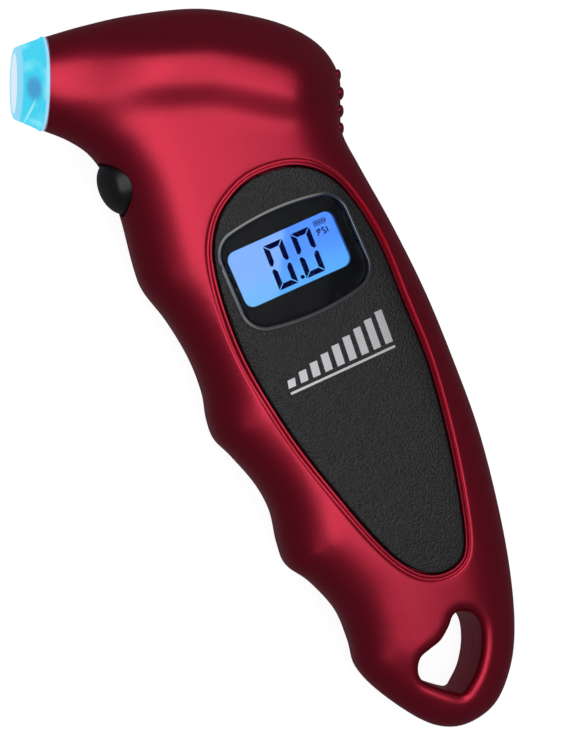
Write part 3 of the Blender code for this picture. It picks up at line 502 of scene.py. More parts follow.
def principled(name, colour, roughness, **values):
    """A material with one Principled shader, and its tree and shader."""
    material = bpy.data.materials.new(name)
    material.use_nodes = True
    tree = material.node_tree
    shader = tree.nodes["Principled BSDF"]
    shader.inputs["Base Color"].default_value = (*colour, 1.0)
    shader.inputs["Roughness"].default_value = roughness
    for key, value in values.items():
        shader.inputs[key.replace("_", " ")].default_value = value
    return material, tree, shader


def vector_maths(tree, operation, *inputs):
    """A vector operation on constants or outputs, as an output."""
    made = node(tree, "ShaderNodeVectorMath", dict(enumerate(inputs)), operation=operation)
    return made.outputs["Value" if operation == "LENGTH" else "Vector"]


def fading(tree, value, start, end, most=1.0):
    """A smooth fall from most where the value is start to 0 where it is end, as an output."""
    return node(tree, "ShaderNodeMapRange", {"Value": value, "From Min": start, "From Max": end,
                                             "To Min": most, "To Max": 0.0},
                interpolation_type="SMOOTHSTEP").outputs[0]


def mixed(tree, share, first, second):
    """A colour between two, which are constants or outputs, as an output."""
    mix = node(tree, "ShaderNodeMix", data_type="RGBA")
    for key, value in ((0, share), (6, first), (7, second)):
        if isinstance(value, bpy.types.NodeSocket):
            tree.links.new(value, mix.inputs[key])
        else:
            mix.inputs[key].default_value = value if key == 0 else (*value, 1)
    return mix.outputs[2]


def near(tree, coords, spot, half, turn, edge):
    """1 in an oval round a spot, given with its half sizes in mm and its turn, falling to 0 past its edge."""
    moved = vector_maths(tree, "SUBTRACT", coords, Vector((*spot, PARTING)) * MM)
    upright = node(tree, "ShaderNodeMapping", {"Vector": moved, "Rotation": (0, 0, -turn)}).outputs[0]
    scaled = vector_maths(tree, "MULTIPLY", upright, (1 / (half[0] * MM), 1 / (half[1] * MM), 0))
    return fading(tree, vector_maths(tree, "LENGTH", scaled), 1 - edge, 1 + edge)


def speckled(tree, colour, amount, size, coords=None):
    """The colour made lighter and darker by noise of this grain size, in mm, as an output."""
    coords = coords or node(tree, "ShaderNodeTexCoord").outputs["Object"]
    noise = node(tree, "ShaderNodeTexNoise", {"Vector": coords, "Scale": 1 / (size * MM), "Detail": 3.0})
    spread = node(tree, "ShaderNodeMapRange", {"Value": noise.outputs["Fac"], "From Min": 0.25,
                                               "From Max": 0.75, "To Min": 1 - amount,
                                               "To Max": 1 + amount})
    return vector_maths(tree, "MULTIPLY", colour, spread.outputs["Result"]), noise.outputs["Fac"]


def bumped(tree, shader, height, depth):
    """Gives the shader a bump of this depth in mm from a height output."""
    bump = node(tree, "ShaderNodeBump", {"Height": height, "Distance": depth * MM, "Strength": 1.0})
    tree.links.new(bump.outputs["Normal"], shader.inputs["Normal"])


def plastic(name, colour, roughness, grain=0.25, depth=0.01, amount=0.08, **values):
    """A moulded plastic, rubber or metal finish: slightly uneven colour, and a fine grain."""
    material, tree, shader = principled(name, colour, roughness, **values)
    uneven, noise = speckled(tree, colour, amount, grain)
    tree.links.new(uneven, shader.inputs["Base Color"])
    bumped(tree, shader, noise, depth)
    return material


def metallic_paint(colour, roughness, flake):
    """Satin metallic paint with fine flakes."""
    material, tree, shader = principled("metallic_paint", colour, roughness, Metallic=1.0, Coat_Weight=0.25,
                                        Coat_Roughness=0.3)
    uneven, noise = speckled(tree, colour, 0.1, flake)
    tree.links.new(uneven, shader.inputs["Base Color"])
    rough = node(tree, "ShaderNodeMapRange", {"Value": noise, "To Min": roughness - 0.05,
                                              "To Max": roughness + 0.05})
    tree.links.new(rough.outputs["Result"], shader.inputs["Roughness"])
    bumped(tree, shader, noise, 0.004)
    return material


def leather_grain(colour, roughness, size):
    """Moulded black plastic with a fine leather grain: small rounded pebbles between wandering creases."""
    material, tree, shader = principled("leather_grain", colour, roughness, Specular_IOR_Level=0.75)
    coords = node(tree, "ShaderNodeTexCoord").outputs["Object"]
    bend = node(tree, "ShaderNodeTexNoise", {"Vector": coords, "Scale": 1 / (1.5 * size * MM), "Detail": 2.0})
    shift = vector_maths(tree, "MULTIPLY", bend.outputs["Color"], (size * MM,) * 3)
    place = vector_maths(tree, "ADD", coords, shift)
    cells = node(tree, "ShaderNodeTexVoronoi", {"Vector": place, "Scale": 1 / (size * MM)}, feature="F1")
    fine = node(tree, "ShaderNodeTexNoise", {"Vector": coords, "Scale": 1 / (0.5 * size * MM), "Detail": 3.0})
    height = node(tree, "ShaderNodeMath", {0: cells.outputs["Distance"], 1: -1.0, 2: fine.outputs["Fac"]},
                  operation="MULTIPLY_ADD")
    bumped(tree, shader, height.outputs[0], 0.32 * size)
    rough = node(tree, "ShaderNodeMapRange", {"Value": height.outputs[0], "From Min": -0.4, "From Max": 0.6,
                                              "To Min": roughness + 0.12, "To Max": roughness - 0.06})
    tree.links.new(rough.outputs["Result"], shader.inputs["Roughness"])
    uneven, _ = speckled(tree, colour, 0.25, 2 * size, coords)
    tree.links.new(uneven, shader.inputs["Base Color"])
    return material


def shared(name, make):
    """The material of this name, made the first time that a piece needs it."""
    return bpy.data.materials.get(name) or make()


# ---------------------------------------------------------------- settings


def colour_setting(name, what, default):
    return FloatVectorProperty(name=name, description=f"Colour of {what}", subtype="COLOR", min=0, max=1,
                               default=default)


def number_setting(name, description, default, low, high):
    return FloatProperty(name=name, description=description, default=default, min=low, max=high)


def length_setting(name, description, default, low, high):
    """A length whose values are given here in mm."""
    return FloatProperty(name=name, description=description, default=default * MM, min=low * MM,
                         max=high * MM, unit="LENGTH")


class CasingSettings(bpy.types.PropertyGroup):
    colour: colour_setting("Paint", "the metallic paint", (0.6, 0.024, 0.06))
    roughness: number_setting("Roughness", "How satin the paint is", 0.42, 0.05, 1)
    flake: number_setting("Flake size", "Size of the paint's flakes in millimetres", 0.16, 0.02, 1)
    hole_rim: length_setting("Lanyard hole rim", "Radius of the rounding round the lanyard hole", 2.4, 0.3, 4)
    rib_radius: length_setting("Thumb rib", "How far a thumb rib stands out", 1.0, 0.2, 2)
    rib_reach: length_setting("Thumb rib reach", "How far a thumb rib runs up the casing's side", 4.5, 2, 10)


class FaceSettings(bpy.types.PropertyGroup):
    colour: colour_setting("Plate", "the face plate", (0.008, 0.008, 0.009))
    roughness: number_setting("Roughness", "Roughness of the face plate", 0.38, 0.05, 1)
    grain: number_setting("Grain", "Size of the leather grain in millimetres", 0.42, 0.1, 2)
    mark_bars: IntProperty(name="Level bars", description="Number of bars in the printed pressure scale",
                           default=9, min=3, max=20)
    mark_colour: colour_setting("Print", "the printed scale", (0.72, 0.72, 0.74))


class DisplaySettings(bpy.types.PropertyGroup):
    reading: StringProperty(name="Reading", default="00",
                            description="Digits that the display shows, with a point after the first")
    glow: colour_setting("Backlight", "the backlight", (0.055, 0.26, 1.0))
    glow_left: colour_setting("Backlight, left", "the backlight near its left end", (0.19, 0.41, 1.0))
    brightness: number_setting("Brightness", "Strength of the backlight", 1.0, 0, 10)
    ink: colour_setting("Segments", "the dark segments", (0.0015, 0.003, 0.07))
    stroke: length_setting("Stroke", "Width of a segment", 1.08, 0.3, 2)


class NozzleSettings(bpy.types.PropertyGroup):
    glow: colour_setting("Light", "the lit nozzle", (0.05, 0.66, 0.9))
    brightness: number_setting("Brightness", "Strength of the nozzle's light", 0.9, 0, 10)


class ButtonSettings(bpy.types.PropertyGroup):
    colour: colour_setting("Cap", "the button", (0.008, 0.008, 0.009))
    roughness: number_setting("Roughness", "Roughness of the button", 0.36, 0.05, 1)


class StageSettings(bpy.types.PropertyGroup):
    floor: colour_setting("Floor", "the floor", (0.4, 0.4, 0.4))
    key: number_setting("Key light", "Power of the overhead softbox in watts", 1.55, 0, 100)
    grip: number_setting("Grip light", "Power of the softbox for the grip's left side in watts", 0.34, 0, 100)
    tail: number_setting("Tail light", "Power of the small softbox over the tail in watts", 0.21, 0, 100)
    room: number_setting("Room light", "Strength of the soft light from all round", 0.11, 0, 5)


# ---------------------------------------------------------------- casing


def casing_paint(settings):
    return shared("metallic_paint",
                  lambda: metallic_paint(settings.colour, settings.roughness, settings.flake))


def post_loop(spot, radius, sides=20):
    """A circle as a clockwise loop."""
    turns = [-2 * math.pi * k / sides for k in range(sides)]
    return [(spot[0] + radius * math.cos(t), spot[1] + radius * math.sin(t)) for t in turns]


def round_post(name, spot, low, high, radius, sides=28):
    """An upright round post, or a cutter for a round hole."""
    profile = ((0, low), (radius, low), (radius, high), (0, high))
    return turned(name, profile, Matrix.Translation((*spot, 0)), sides=sides)


def side_band():
    """Rows of points up the casing's rounded side, evenly spaced round its quarter circle."""
    turns = [math.radians(90 * k / SIDE_STEPS) for k in range(1, SIDE_STEPS + 1)]
    return [-EDGE_RADIUS * (1 - math.cos(t)) for t in turns]


def rim_profile(radius):
    """A quarter circle that falls into a hole, as (distance out from its edge, height) points."""
    turns = [math.radians(15 * k) for k in range(7)]
    return [(radius * (1 - math.cos(t)), -radius * (1 - math.sin(t))) for t in turns]


def cavity(name, height, base, side, bosses):
    """The inside of a casing half, which goes round the screw bosses."""
    loops = [post_loop(spot, REAR_BOSS if side < 0 else FRONT_BOSS) for spot in bosses]
    solid = relief(f"{name}_cavity", CAVITY_LOOP, height, base, side=side,
                   bands=((CAVITY_LOOP, CAVITY_ROWS),), holes=loops, spacing=CAVITY_GRID)
    corners = [handle_point(x, -y) for x, y in ((-60, CAVITY_END), (60, CAVITY_END), (60, 110), (-60, 110))]
    cut(solid, prism(f"{name}_tail_block", [(p.x, p.y) for p in corners], -5, 40))
    return solid


def nozzle_socket(name):
    start, end = COLLAR_X - 2, SOCKET_END_X
    profile = ((0, start), (SOCKET_RADIUS, start), (SOCKET_RADIUS, end), (0, end))
    return turned(name, profile, NOZZLE_PLACE)


def button_hole(name):
    half_along, half_high = BUTTON_HALF
    profile = ((0, -6), (1, -6), (1, 7.0), (0, 7.0))
    return turned(name, profile, BUTTON_PLACE, sides=56, squash=(half_high, half_along))


def front_casing(settings):
    """The front half, with the face plate's pocket and the bead and groove round it."""
    base = PARTING + GAP / 2
    smooth = softened(front_height)
    rim = rim_profile(settings.hole_rim / MM)
    pocket = inset(PANEL_LOOP, GAP)

    def top(points):
        drop = profiled(distance_to(closed(PANEL_LOOP), points), GROOVE_PROFILE)
        drop = np.where(inside(PANEL_LOOP, points), 0, drop)
        return smooth(points) - GAP / 2 + drop + profiled(distance_to(closed(HOLE_LOOP), points), rim)

    def ceiling(points):
        over_ledge = inside(inset(PANEL_LOOP, WALL), points)
        return np.where(over_ledge, PANEL_FLOOR - GAP - WALL - base, front_height(points, WALL) - GAP / 2)

    bands = ((HOLE_LOOP, [d for d, _ in rim[1:]]), (PANEL_LOOP, [d for d, _ in GROOVE_PROFILE[1:]]),
             (CASING_LOOP, side_band()))
    shell = relief("casing_front", CASING_LOOP, top, base, bands=bands, holes=[HOLE_LOOP], pocket=pocket,
                   floor=PANEL_FLOOR - GAP, materials=[casing_paint(settings)] * 2)
    cut(shell, cavity("front", ceiling, base, 1, SCREW_SPOTS[:3]),
        prism("panel_opening", inset(PANEL_LOOP, -PANEL_LEDGE), PARTING - 2, 40),
        nozzle_socket("front_socket"), button_hole("front_button_hole"),
        *(round_post(f"front_pilot_{i + 1}", spot, PARTING - 3, PARTING + 5.5, SCREW_SHANK + GAP)
          for i, spot in enumerate(SCREW_SPOTS)))
    place_piece(shell, "casing", "casing_red", "front_shell")


def rear_casing(settings):
    """The rear half, with the battery door's opening and the ways of the screws."""
    base = PARTING - GAP / 2
    smooth = softened(back_height)
    rim = rim_profile(settings.hole_rim / MM)

    def top(points):
        return smooth(points) - GAP / 2 + profiled(distance_to(closed(HOLE_LOOP), points), rim)

    def ceiling(points):
        return back_height(points, WALL) - GAP / 2

    bands = ((HOLE_LOOP, [d for d, _ in rim[1:]]), (CASING_LOOP, side_band()))
    shell = relief("casing_rear", CASING_LOOP, top, base, side=-1, bands=bands, holes=[HOLE_LOOP],
                   spacing=2.0, materials=[casing_paint(settings)])
    ways = []
    for i, spot in enumerate(SCREW_SPOTS):
        wide, narrow, end = SCREW_HEAD + GAP, SCREW_SHANK + GAP, PARTING + 2
        way = ((0, -2), (wide + 0.5, -2), (wide + 0.5, 0.1), (wide, 0.5), (wide, SCREW_SEAT),
               (narrow, SCREW_SEAT), (narrow, end), (0, end))
        ways.append(turned(f"screw_way_{i + 1}", way, Matrix.Translation((*spot, 0)), sides=28))
    cut(shell, cavity("rear", ceiling, base, -1, SCREW_SPOTS[:3]), *ways, nozzle_socket("rear_socket"),
        button_hole("rear_button_hole"), lug_ring("door_opening", DOOR_RADIUS + GAP, -2, 4, DOOR_TURN, 0.5))
    place_piece(shell, "casing", "casing_red", "rear_shell")


def lug_ring(name, radius, low, high, turn, grow, **kind):
    """A disc with three lugs, grown by grow at its lugs and turned by turn, about the door's axis."""
    half = LUG_HALF_ANGLE + grow / DOOR_RADIUS
    loop = []
    for lug in range(3):
        middle = turn + 2 * math.pi * lug / 3
        loop += [(DOOR_LUG_RADIUS + grow, middle + half * k / 4) for k in range(-4, 5)]
        start, span = middle + half, 2 * math.pi / 3 - 2 * half
        loop += [(radius, start + span * k / 18) for k in range(19)]
    outline = [(r * math.cos(a), r * math.sin(a)) for r, a in loop]
    return prism(name, outline, low, high, place=DOOR_PLACE, **kind)


def rib_mesh(name, side, radius, reach):
    """One thumb rib that follows the casing's rounded flank from height 0, up or down as side says."""
    bm = bmesh.new()
    rings = []
    for turn in range(0, 90, 9):
        height = reach * math.sin(math.radians(turn))
        width = radius * math.cos(math.radians(turn)) ** 0.8
        lean = EDGE_RADIUS * (1 - math.sqrt(1 - (height / HANDLE_FRONT) ** 2))
        turns = [2 * math.pi * k / RIB_SIDES for k in range(RIB_SIDES)]
        rings.append([bm.verts.new((RIB_HALF[0] * width * math.cos(t) - lean,
                                    RIB_HALF[1] * width * math.sin(t), side * height)) for t in turns])
    for low, high in zip(rings, rings[1:]):
        for k in range(RIB_SIDES):
            after = (k + 1) % RIB_SIDES
            bm.faces.new((low[k], low[after], high[after], high[k]))
    bm.faces.new(rings[0])
    bm.faces.new(rings[-1])
    return mesh_of(bm, name)


# ---------------------------------------------------------------- repeats


def repeat_tree(name):
    """A node tree that puts one part on each point of its mesh, and gives the result a material."""
    tree = bpy.data.node_groups.new(name, "GeometryNodeTree")
    face = tree.interface
    face.new_socket("Geometry", in_out="INPUT", socket_type="NodeSocketGeometry")
    part = face.new_socket("Part", in_out="INPUT", socket_type="NodeSocketObject")
    size = face.new_socket("Size", in_out="INPUT", socket_type="NodeSocketFloat")
    size.default_value = 1.0
    finish = face.new_socket("Finish", in_out="INPUT", socket_type="NodeSocketMaterial")
    face.new_socket("Geometry", in_out="OUTPUT", socket_type="NodeSocketGeometry")
    given = node(tree, "NodeGroupInput").outputs
    stored = node(tree, "GeometryNodeInputNamedAttribute", {"Name": "turn"}, data_type="FLOAT_VECTOR")
    info = node(tree, "GeometryNodeObjectInfo", {"Object": given["Part"]})
    placed = node(tree, "GeometryNodeInstanceOnPoints", {
        "Points": given["Geometry"], "Instance": info.outputs["Geometry"],
        "Rotation": stored.outputs["Attribute"], "Scale": given["Size"]})
    real = node(tree, "GeometryNodeRealizeInstances", {"Geometry": placed.outputs["Instances"]})
    finished = node(tree, "GeometryNodeSetMaterial", {"Geometry": real.outputs["Geometry"],
                                                      "Material": given["Finish"]})
    node(tree, "NodeGroupOutput", {"Geometry": finished.outputs["Geometry"]})
    return tree, {"Part": part.identifier, "Size": size.identifier, "Finish": finish.identifier}


def repeated(name, mesh, spots, material, turns=None, size=1.0):
    """A mesh repeated at spots, each with its own turn about Z, as one plain object in metres."""
    part = add(f"{name}_part", mesh)
    points = bpy.data.meshes.new(name)
    points.from_pydata([tuple(Vector(s) * MM) for s in spots], [], [])
    attribute = points.attributes.new("turn", "FLOAT_VECTOR", "POINT")
    for i in range(len(spots)):
        attribute.data[i].vector = (0, 0, turns[i] if turns else 0.0)
    obj = bpy.data.objects.new(name, points)
    bpy.context.scene.collection.objects.link(obj)
    tree, sockets = repeat_tree(f"{name}_repeat")
    modifier = obj.modifiers.new("repeat", "NODES")
    modifier.node_group = tree
    modifier[sockets["Part"]] = part
    modifier[sockets["Size"]] = size
    modifier[sockets["Finish"]] = material
    made_plain(obj)
    bpy.data.objects.remove(part)
    return obj


class GAUGE_OT_casing(bpy.types.Operator):
    """Make the two painted halves of the casing"""

    bl_idname = "gauge.casing"
    bl_label = "Casing"

    def execute(self, context):
        settings = context.scene.gauge_casing
        front_casing(settings)
        rear_casing(settings)
        return {"FINISHED"}


class GAUGE_OT_thumb_ribs(bpy.types.Operator):
    """Make the small ribs behind the head, where the thumb rests"""

    bl_idname = "gauge.thumb_ribs"
    bl_label = "Thumb Ribs"

    def execute(self, context):
        settings = context.scene.gauge_casing
        radius, reach = settings.rib_radius / MM, settings.rib_reach / MM
        for name, side in (("thumb_ribs_front", 1), ("thumb_ribs_rear", -1)):
            base = PARTING + side * GAP / 2
            spots = [(x, y, base) for x, y in THUMB_RIBS]
            ribs = repeated(name, rib_mesh(name, side, radius, reach), spots, casing_paint(settings))
            place_piece(ribs, "casing", "casing_red")
        return {"FINISHED"}


# ---------------------------------------------------------------- face plate and display


def barrel_loop(centre, half_x, half_y, bulge, corner=3.5):
    """A rounded rectangle whose two long sides swell by bulge at their middle, as a clockwise loop."""
    loop = []
    for sign_x, sign_y, start in ((1, -1, -90), (1, 1, 0), (-1, 1, 90), (-1, -1, 180)):
        middle_x, middle_y = sign_x * (half_x - corner), sign_y * (half_y - bulge - corner)
        turns = [math.radians(start + 90 * k / 8) for k in range(9)]
        loop += [(middle_x + corner * math.cos(t), middle_y + corner * math.sin(t)) for t in turns]
        if sign_x == sign_y:
            loop += [(sign_x * (half_x - corner) * (1 - k / 14), sign_y * (half_y - bulge))
                     for k in range(1, 28)]
        else:
            loop += [(sign_x * half_x, sign_y * (half_y - bulge - corner) * (1 - k / 5))
                     for k in range(1, 10)]
    return [(centre[0] + x, centre[1] + y + math.copysign(bulge * (1 - (x / half_x) ** 2), y))
            for x, y in reversed(loop)]


def rounded_box_loop(centre, half_x, half_y, corner, steps=6):
    """A rounded rectangle as a clockwise loop."""
    loop = []
    for sign_x, sign_y, start in ((1, 1, 0), (-1, 1, 90), (-1, -1, 180), (1, -1, 270)):
        turns = [math.radians(start + 90 * k / steps) for k in range(steps + 1)]
        loop += [(sign_x * (half_x - corner) + corner * math.cos(t),
                  sign_y * (half_y - corner) + corner * math.sin(t)) for t in turns]
    return [(centre[0] + x, centre[1] + y) for x, y in reversed(loop)]


OPENING_HALF, OPENING_CORNER = (11.8, 5.9), 1.9
RIM_REACH = 0.75  # how far the recess's smooth rim reaches onto the grained plate


def face_plate(settings):
    """The grained black plate, with the display's sunk and rounded recess."""
    smooth = softened(front_height)
    recess = in_row(barrel_loop(RECESS_SPOT, *RECESS_HALF, RECESS_BULGE))
    opening = in_row(rounded_box_loop(LCD_SPOT, *OPENING_HALF, OPENING_CORNER))

    def top(points):
        edge = profiled(distance_to(closed(PANEL_LOOP), points), PLATE_EDGE)
        lip = profiled(distance_to(closed(recess), points), RECESS_EDGE)
        return smooth(points) + PARTING - PANEL_FLOOR + edge + lip

    bands = ((recess, [d for d, _ in RECESS_EDGE[1:]]), (PANEL_LOOP, [-d for d, _ in PLATE_EDGE[1:]]))
    grained = leather_grain(settings.colour, settings.roughness, settings.grain)
    smooth_rim = plastic("recess_rim", (0.03, 0.03, 0.033), 0.3, depth=0.001, Specular_IOR_Level=1.0,
                         IOR=1.8)
    gloss = plastic("recess_gloss", (0.002, 0.003, 0.006), 0.16, depth=0.001, Specular_IOR_Level=0.08)
    plate = relief("face_plate", PANEL_LOOP, top, PANEL_FLOOR, bands=bands, holes=[opening], pocket=recess,
                   floor=LENS_FLOOR - GAP, materials=[grained, gloss, smooth_rim])
    middles = np.array([face.center[:2] for face in plate.data.polygons]) / MM
    rim = (distance_to(closed(recess), middles) < RIM_REACH) & ~inside(recess, middles)
    for face, on_rim in zip(plate.data.polygons, rim):
        if on_rim:
            face.material_index = 2
    place_piece(plate, "casing", "face_black", "face_panel")


def level_bars(settings):
    """A printed pressure scale on the plate: bars that grow along it, over a fine base line."""
    smooth = softened(front_height)
    bm = bmesh.new()

    def bar(x0, x1, y0, y1, lean):
        corners = [(x0, y0), (x1, y0), (x1 + lean, y1), (x0 + lean, y1)]
        steps = [i / 4 for i in range(5)]
        a, b, c, d = (Vector(corner) for corner in corners)
        flat = [a.lerp(b, u).lerp(d.lerp(c, u), v) for v in steps for u in steps]
        row = [handle_point(p.x, p.y).xy for p in flat]
        heights = smooth([tuple(p) for p in row]) + PARTING
        layers = [[bm.verts.new((p.x, p.y, z + lift)) for p, z in zip(row, heights)]
                  for lift in (-0.05, 0.03)]
        for layer in layers:
            for k in (5 * j + i for j in range(4) for i in range(4)):
                bm.faces.new((layer[k], layer[k + 1], layer[k + 6], layer[k + 5]))
        edge = [*range(5), 9, 14, 19, 24, 23, 22, 21, 20, 15, 10, 5]
        for k, after in zip(edge, edge[1:] + edge[:1]):
            bm.faces.new((layers[0][k], layers[0][after], layers[1][after], layers[1][k]))

    count = settings.mark_bars
    left, right, foot = -3.0, 21.5, -3.0
    pitch = (right - left) / count
    for i in range(count):
        x = left + i * pitch
        bar(x, x + 0.6 * pitch, foot, foot + 1.6 + 5.2 * i / (count - 1), 0.4)
    bar(left, right - 0.4 * pitch, foot - 1.3, foot - 0.8, 0.0)
    silver = plastic("silver_print", settings.mark_colour, 0.4, depth=0.004, Metallic=0.6)
    mark = add("level_bars", mesh_of(bm, "level_bars"), materials=[silver])
    place_piece(mark, "casing", "white_plastic")


LOW_GLOW = (0.09, 0.5, 0.9)


def lit_glass_material(settings):
    """The backlit glass: paler left of a slanting line, and greener low down."""
    material, tree, shader = principled("lit_glass", (0.01, 0.02, 0.05), 0.3)
    coords = node(tree, "ShaderNodeTexCoord").outputs["Object"]
    centre = handle_point(*LCD_SPOT) * MM
    moved = vector_maths(tree, "SUBTRACT", coords, centre)
    turned_back = node(tree, "ShaderNodeMapping", {"Vector": moved, "Rotation": (0, 0, -HANDLE_TILT)})
    place = node(tree, "ShaderNodeSeparateXYZ", {0: turned_back.outputs[0]})
    slant = node(tree, "ShaderNodeMath", {0: place.outputs["Y"], 1: -0.55, 2: place.outputs["X"]},
                 operation="MULTIPLY_ADD")
    left = fading(tree, slant.outputs[0], -2.3 * MM, -0.6 * MM)
    low = fading(tree, place.outputs["Y"], -6 * MM, 1.5 * MM, 0.55)
    colour = mixed(tree, left, settings.glow, settings.glow_left)
    colour = mixed(tree, low, colour, LOW_GLOW)
    tree.links.new(colour, shader.inputs["Emission Color"])
    shader.inputs["Emission Strength"].default_value = settings.brightness
    return material


def segment_shapes(centre, width, height, stroke, lit):
    """The mitred segments of one seven-segment digit, each as a loop."""
    half_x, half_y, mitre = width / 2, height / 2, stroke
    slit, cleft = 0.14 * stroke, 0.33 * stroke
    shapes = {
        "top": [(-half_x + slit, half_y), (half_x - slit, half_y), (half_x - mitre - slit, half_y - stroke),
                (-half_x + mitre + slit, half_y - stroke)],
        "middle": [(-half_x + mitre, stroke / 2), (half_x - mitre, stroke / 2), (half_x - mitre / 2, 0),
                   (half_x - mitre, -stroke / 2), (-half_x + mitre, -stroke / 2), (-half_x + mitre / 2, 0)],
    }
    shapes["bottom"] = [(x, -y) for x, y in reversed(shapes["top"])]
    side = [(half_x, half_y - slit), (half_x, cleft + slit), (half_x - 0.5 * stroke, cleft - 0.5 * slit),
            (half_x - stroke, cleft + 0.6 * stroke), (half_x - stroke, half_y - mitre - slit)]
    shapes["right_top"] = side
    shapes["right_low"] = [(x, -y) for x, y in reversed(side)]
    shapes["left_top"] = [(-x, y) for x, y in reversed(side)]
    shapes["left_low"] = [(-x, -y) for x, y in side]
    return [[(centre[0] + x + DIGIT_SLANT * y, centre[1] + y) for x, y in shapes[name]] for name in lit]


DIGIT_SEGMENTS = {
    "0": ("top", "bottom", "right_top", "right_low", "left_top", "left_low"),
    "1": ("right_top", "right_low"),
    "2": ("top", "right_top", "middle", "left_low", "bottom"),
    "3": ("top", "right_top", "middle", "right_low", "bottom"),
    "4": ("left_top", "middle", "right_top", "right_low"),
    "5": ("top", "left_top", "middle", "right_low", "bottom"),
    "6": ("top", "left_top", "middle", "left_low", "right_low", "bottom"),
    "7": ("top", "right_top", "right_low"),
    "8": ("top", "bottom", "right_top", "right_low", "left_top", "left_low", "middle"),
    "9": ("top", "left_top", "right_top", "middle", "right_low", "bottom"),
}
DIGIT_SPOTS, DIGIT_SIZE = ((6.4, 19.95), (12.5, 19.95)), (4.25, 9.4)
DIGIT_SLANT = 0.035
POINT_SPOT = (9.55, 15.9)
UNIT_SPOTS, UNIT_SIZE, UNIT_STROKE = ((16.25, 22.7), (17.35, 22.7)), (0.86, 1.4), 0.34
UNIT_SEGMENTS = (("top", "right_top", "middle", "left_top", "left_low"),
                 ("top", "left_top", "middle", "right_low", "bottom"))
UNIT_LAST_SPOT, UNIT_LAST_HALF = (18.1, 22.7), (0.12, 0.57)
ICON_SPOT, ICON_SIZE = (17.1, 24.6), (2.5, 1.1)
ICON_LINE = 0.18


def segments(name, loops, low, high, material):
    """Thin plates for flat shapes given in the handle's axes, as one piece."""
    bm = bmesh.new()
    for loop in loops:
        bottom = bm.faces.new([bm.verts.new((x, y, low)) for x, y in loop])
        made = bmesh.ops.extrude_face_region(bm, geom=[bottom])["geom"]
        tops = [v for v in made if isinstance(v, bmesh.types.BMVert)]
        bmesh.ops.translate(bm, verts=tops, vec=(0, 0, high - low))
    piece = add(name, mesh_of(bm, name), materials=[material], place=HANDLE_PLACE)
    place_piece(piece, "casing", "inner_black")


def display(settings):
    """The backlit glass, its digits and battery sign, and the clear cover over them."""
    glass = prism("display_glass", rounded_box_loop(LCD_SPOT, 12.1, 7.0, 0.4), LCD_LOW, LCD_HIGH,
                  materials=[lit_glass_material(settings)], place=HANDLE_PLACE)
    place_piece(glass, "casing", "lcd_blue", "lcd_glass")
    stroke = settings.stroke / MM
    ink = plastic("display_ink", settings.ink, 0.6, depth=0.001, Specular_IOR_Level=0.0)
    loops = []
    for digit, spot in zip(settings.reading, DIGIT_SPOTS):
        loops += segment_shapes(spot, *DIGIT_SIZE, stroke, DIGIT_SEGMENTS[digit])
    loops.append(post_loop(POINT_SPOT, 0.42, 14))
    for spot, lit in zip(UNIT_SPOTS, UNIT_SEGMENTS):
        loops += segment_shapes(spot, *UNIT_SIZE, UNIT_STROKE, lit)
    loops.append(rounded_box_loop(UNIT_LAST_SPOT, *UNIT_LAST_HALF, 0.02, 2))
    segments("display_digits", loops, LCD_HIGH + 0.03, LCD_HIGH + 0.1, ink)
    faint = plastic("display_faint_ink", (0.03, 0.09, 0.4), 0.6, depth=0.001, Specular_IOR_Level=0.0)
    (x, y), (w, h) = ICON_SPOT, ICON_SIZE
    left, right, foot, head = x - w / 2, x + w / 2, y - h / 2, y + h / 2
    frame_bars = [((left, head), (right, head - ICON_LINE)), ((left, foot + ICON_LINE), (right, foot)),
                  ((left, head - 0.2), (left + ICON_LINE, foot + 0.2)),
                  ((right - ICON_LINE, head - 0.2), (right, foot + 0.2)),
                  ((right + 0.02, y + 0.25), (right + 0.25, y - 0.25))]
    for start in (left + 0.35 + 0.65 * k for k in range(3)):
        frame_bars.append(((start, head - 0.3), (start + 0.5, foot + 0.3)))
    boxes = [[(a, b), (c, b), (c, d), (a, d)] for (a, b), (c, d) in frame_bars]
    segments("display_battery_sign", boxes, LCD_HIGH + 0.03, LCD_HIGH + 0.1, faint)
    half_x, half_y = RECESS_HALF
    cover = barrel_loop(RECESS_SPOT, half_x - GAP, half_y - GAP, RECESS_BULGE, 3.2)
    clear, _, _ = principled("clear_acrylic", (1, 1, 1), 0.0, IOR=1.08, Transmission_Weight=1.0)
    window = prism("display_cover", cover, LENS_FLOOR, LENS_FLOOR + LENS_THICK, materials=[clear],
                   place=HANDLE_PLACE)
    place_piece(window, "casing", "window_clear", "display_window")


class GAUGE_OT_face(bpy.types.Operator):
    """Make the grained face plate and the scale printed on it"""

    bl_idname = "gauge.face"
    bl_label = "Face Plate"

    def execute(self, context):
        face_plate(context.scene.gauge_face)
        level_bars(context.scene.gauge_face)
        return {"FINISHED"}


class GAUGE_OT_display(bpy.types.Operator):
    """Make the lit display and its cover"""

    bl_idname = "gauge.display"
    bl_label = "Display"

    def execute(self, context):
        display(context.scene.gauge_display)
        return {"FINISHED"}


# ---------------------------------------------------------------- button, nozzle, door and screws


def button(settings):
    """The domed oval cap with its flange and stem."""
    half_along, half_high = BUTTON_HALF[0] - GAP, BUTTON_HALF[1] - GAP
    turns = [math.radians(7.5 * k) for k in range(13)]
    dome = [(math.sin(t), -CAP_DOME + (CAP_DOME + 1.2) * (1 - math.cos(t))) for t in turns]
    profile = [*dome, (1, 7.1), (1.1, 7.1), (1.1, 7.9), (0.25, 7.9), (0.25, 9.2), (0, 9.2)]
    black = plastic("button_black", settings.colour, settings.roughness, grain=0.2, depth=0.003)
    cap = turned("button", profile, BUTTON_PLACE, squash=(half_high, half_along), materials=[black])
    place_piece(cap, "button", "black_plastic", "button_cap")


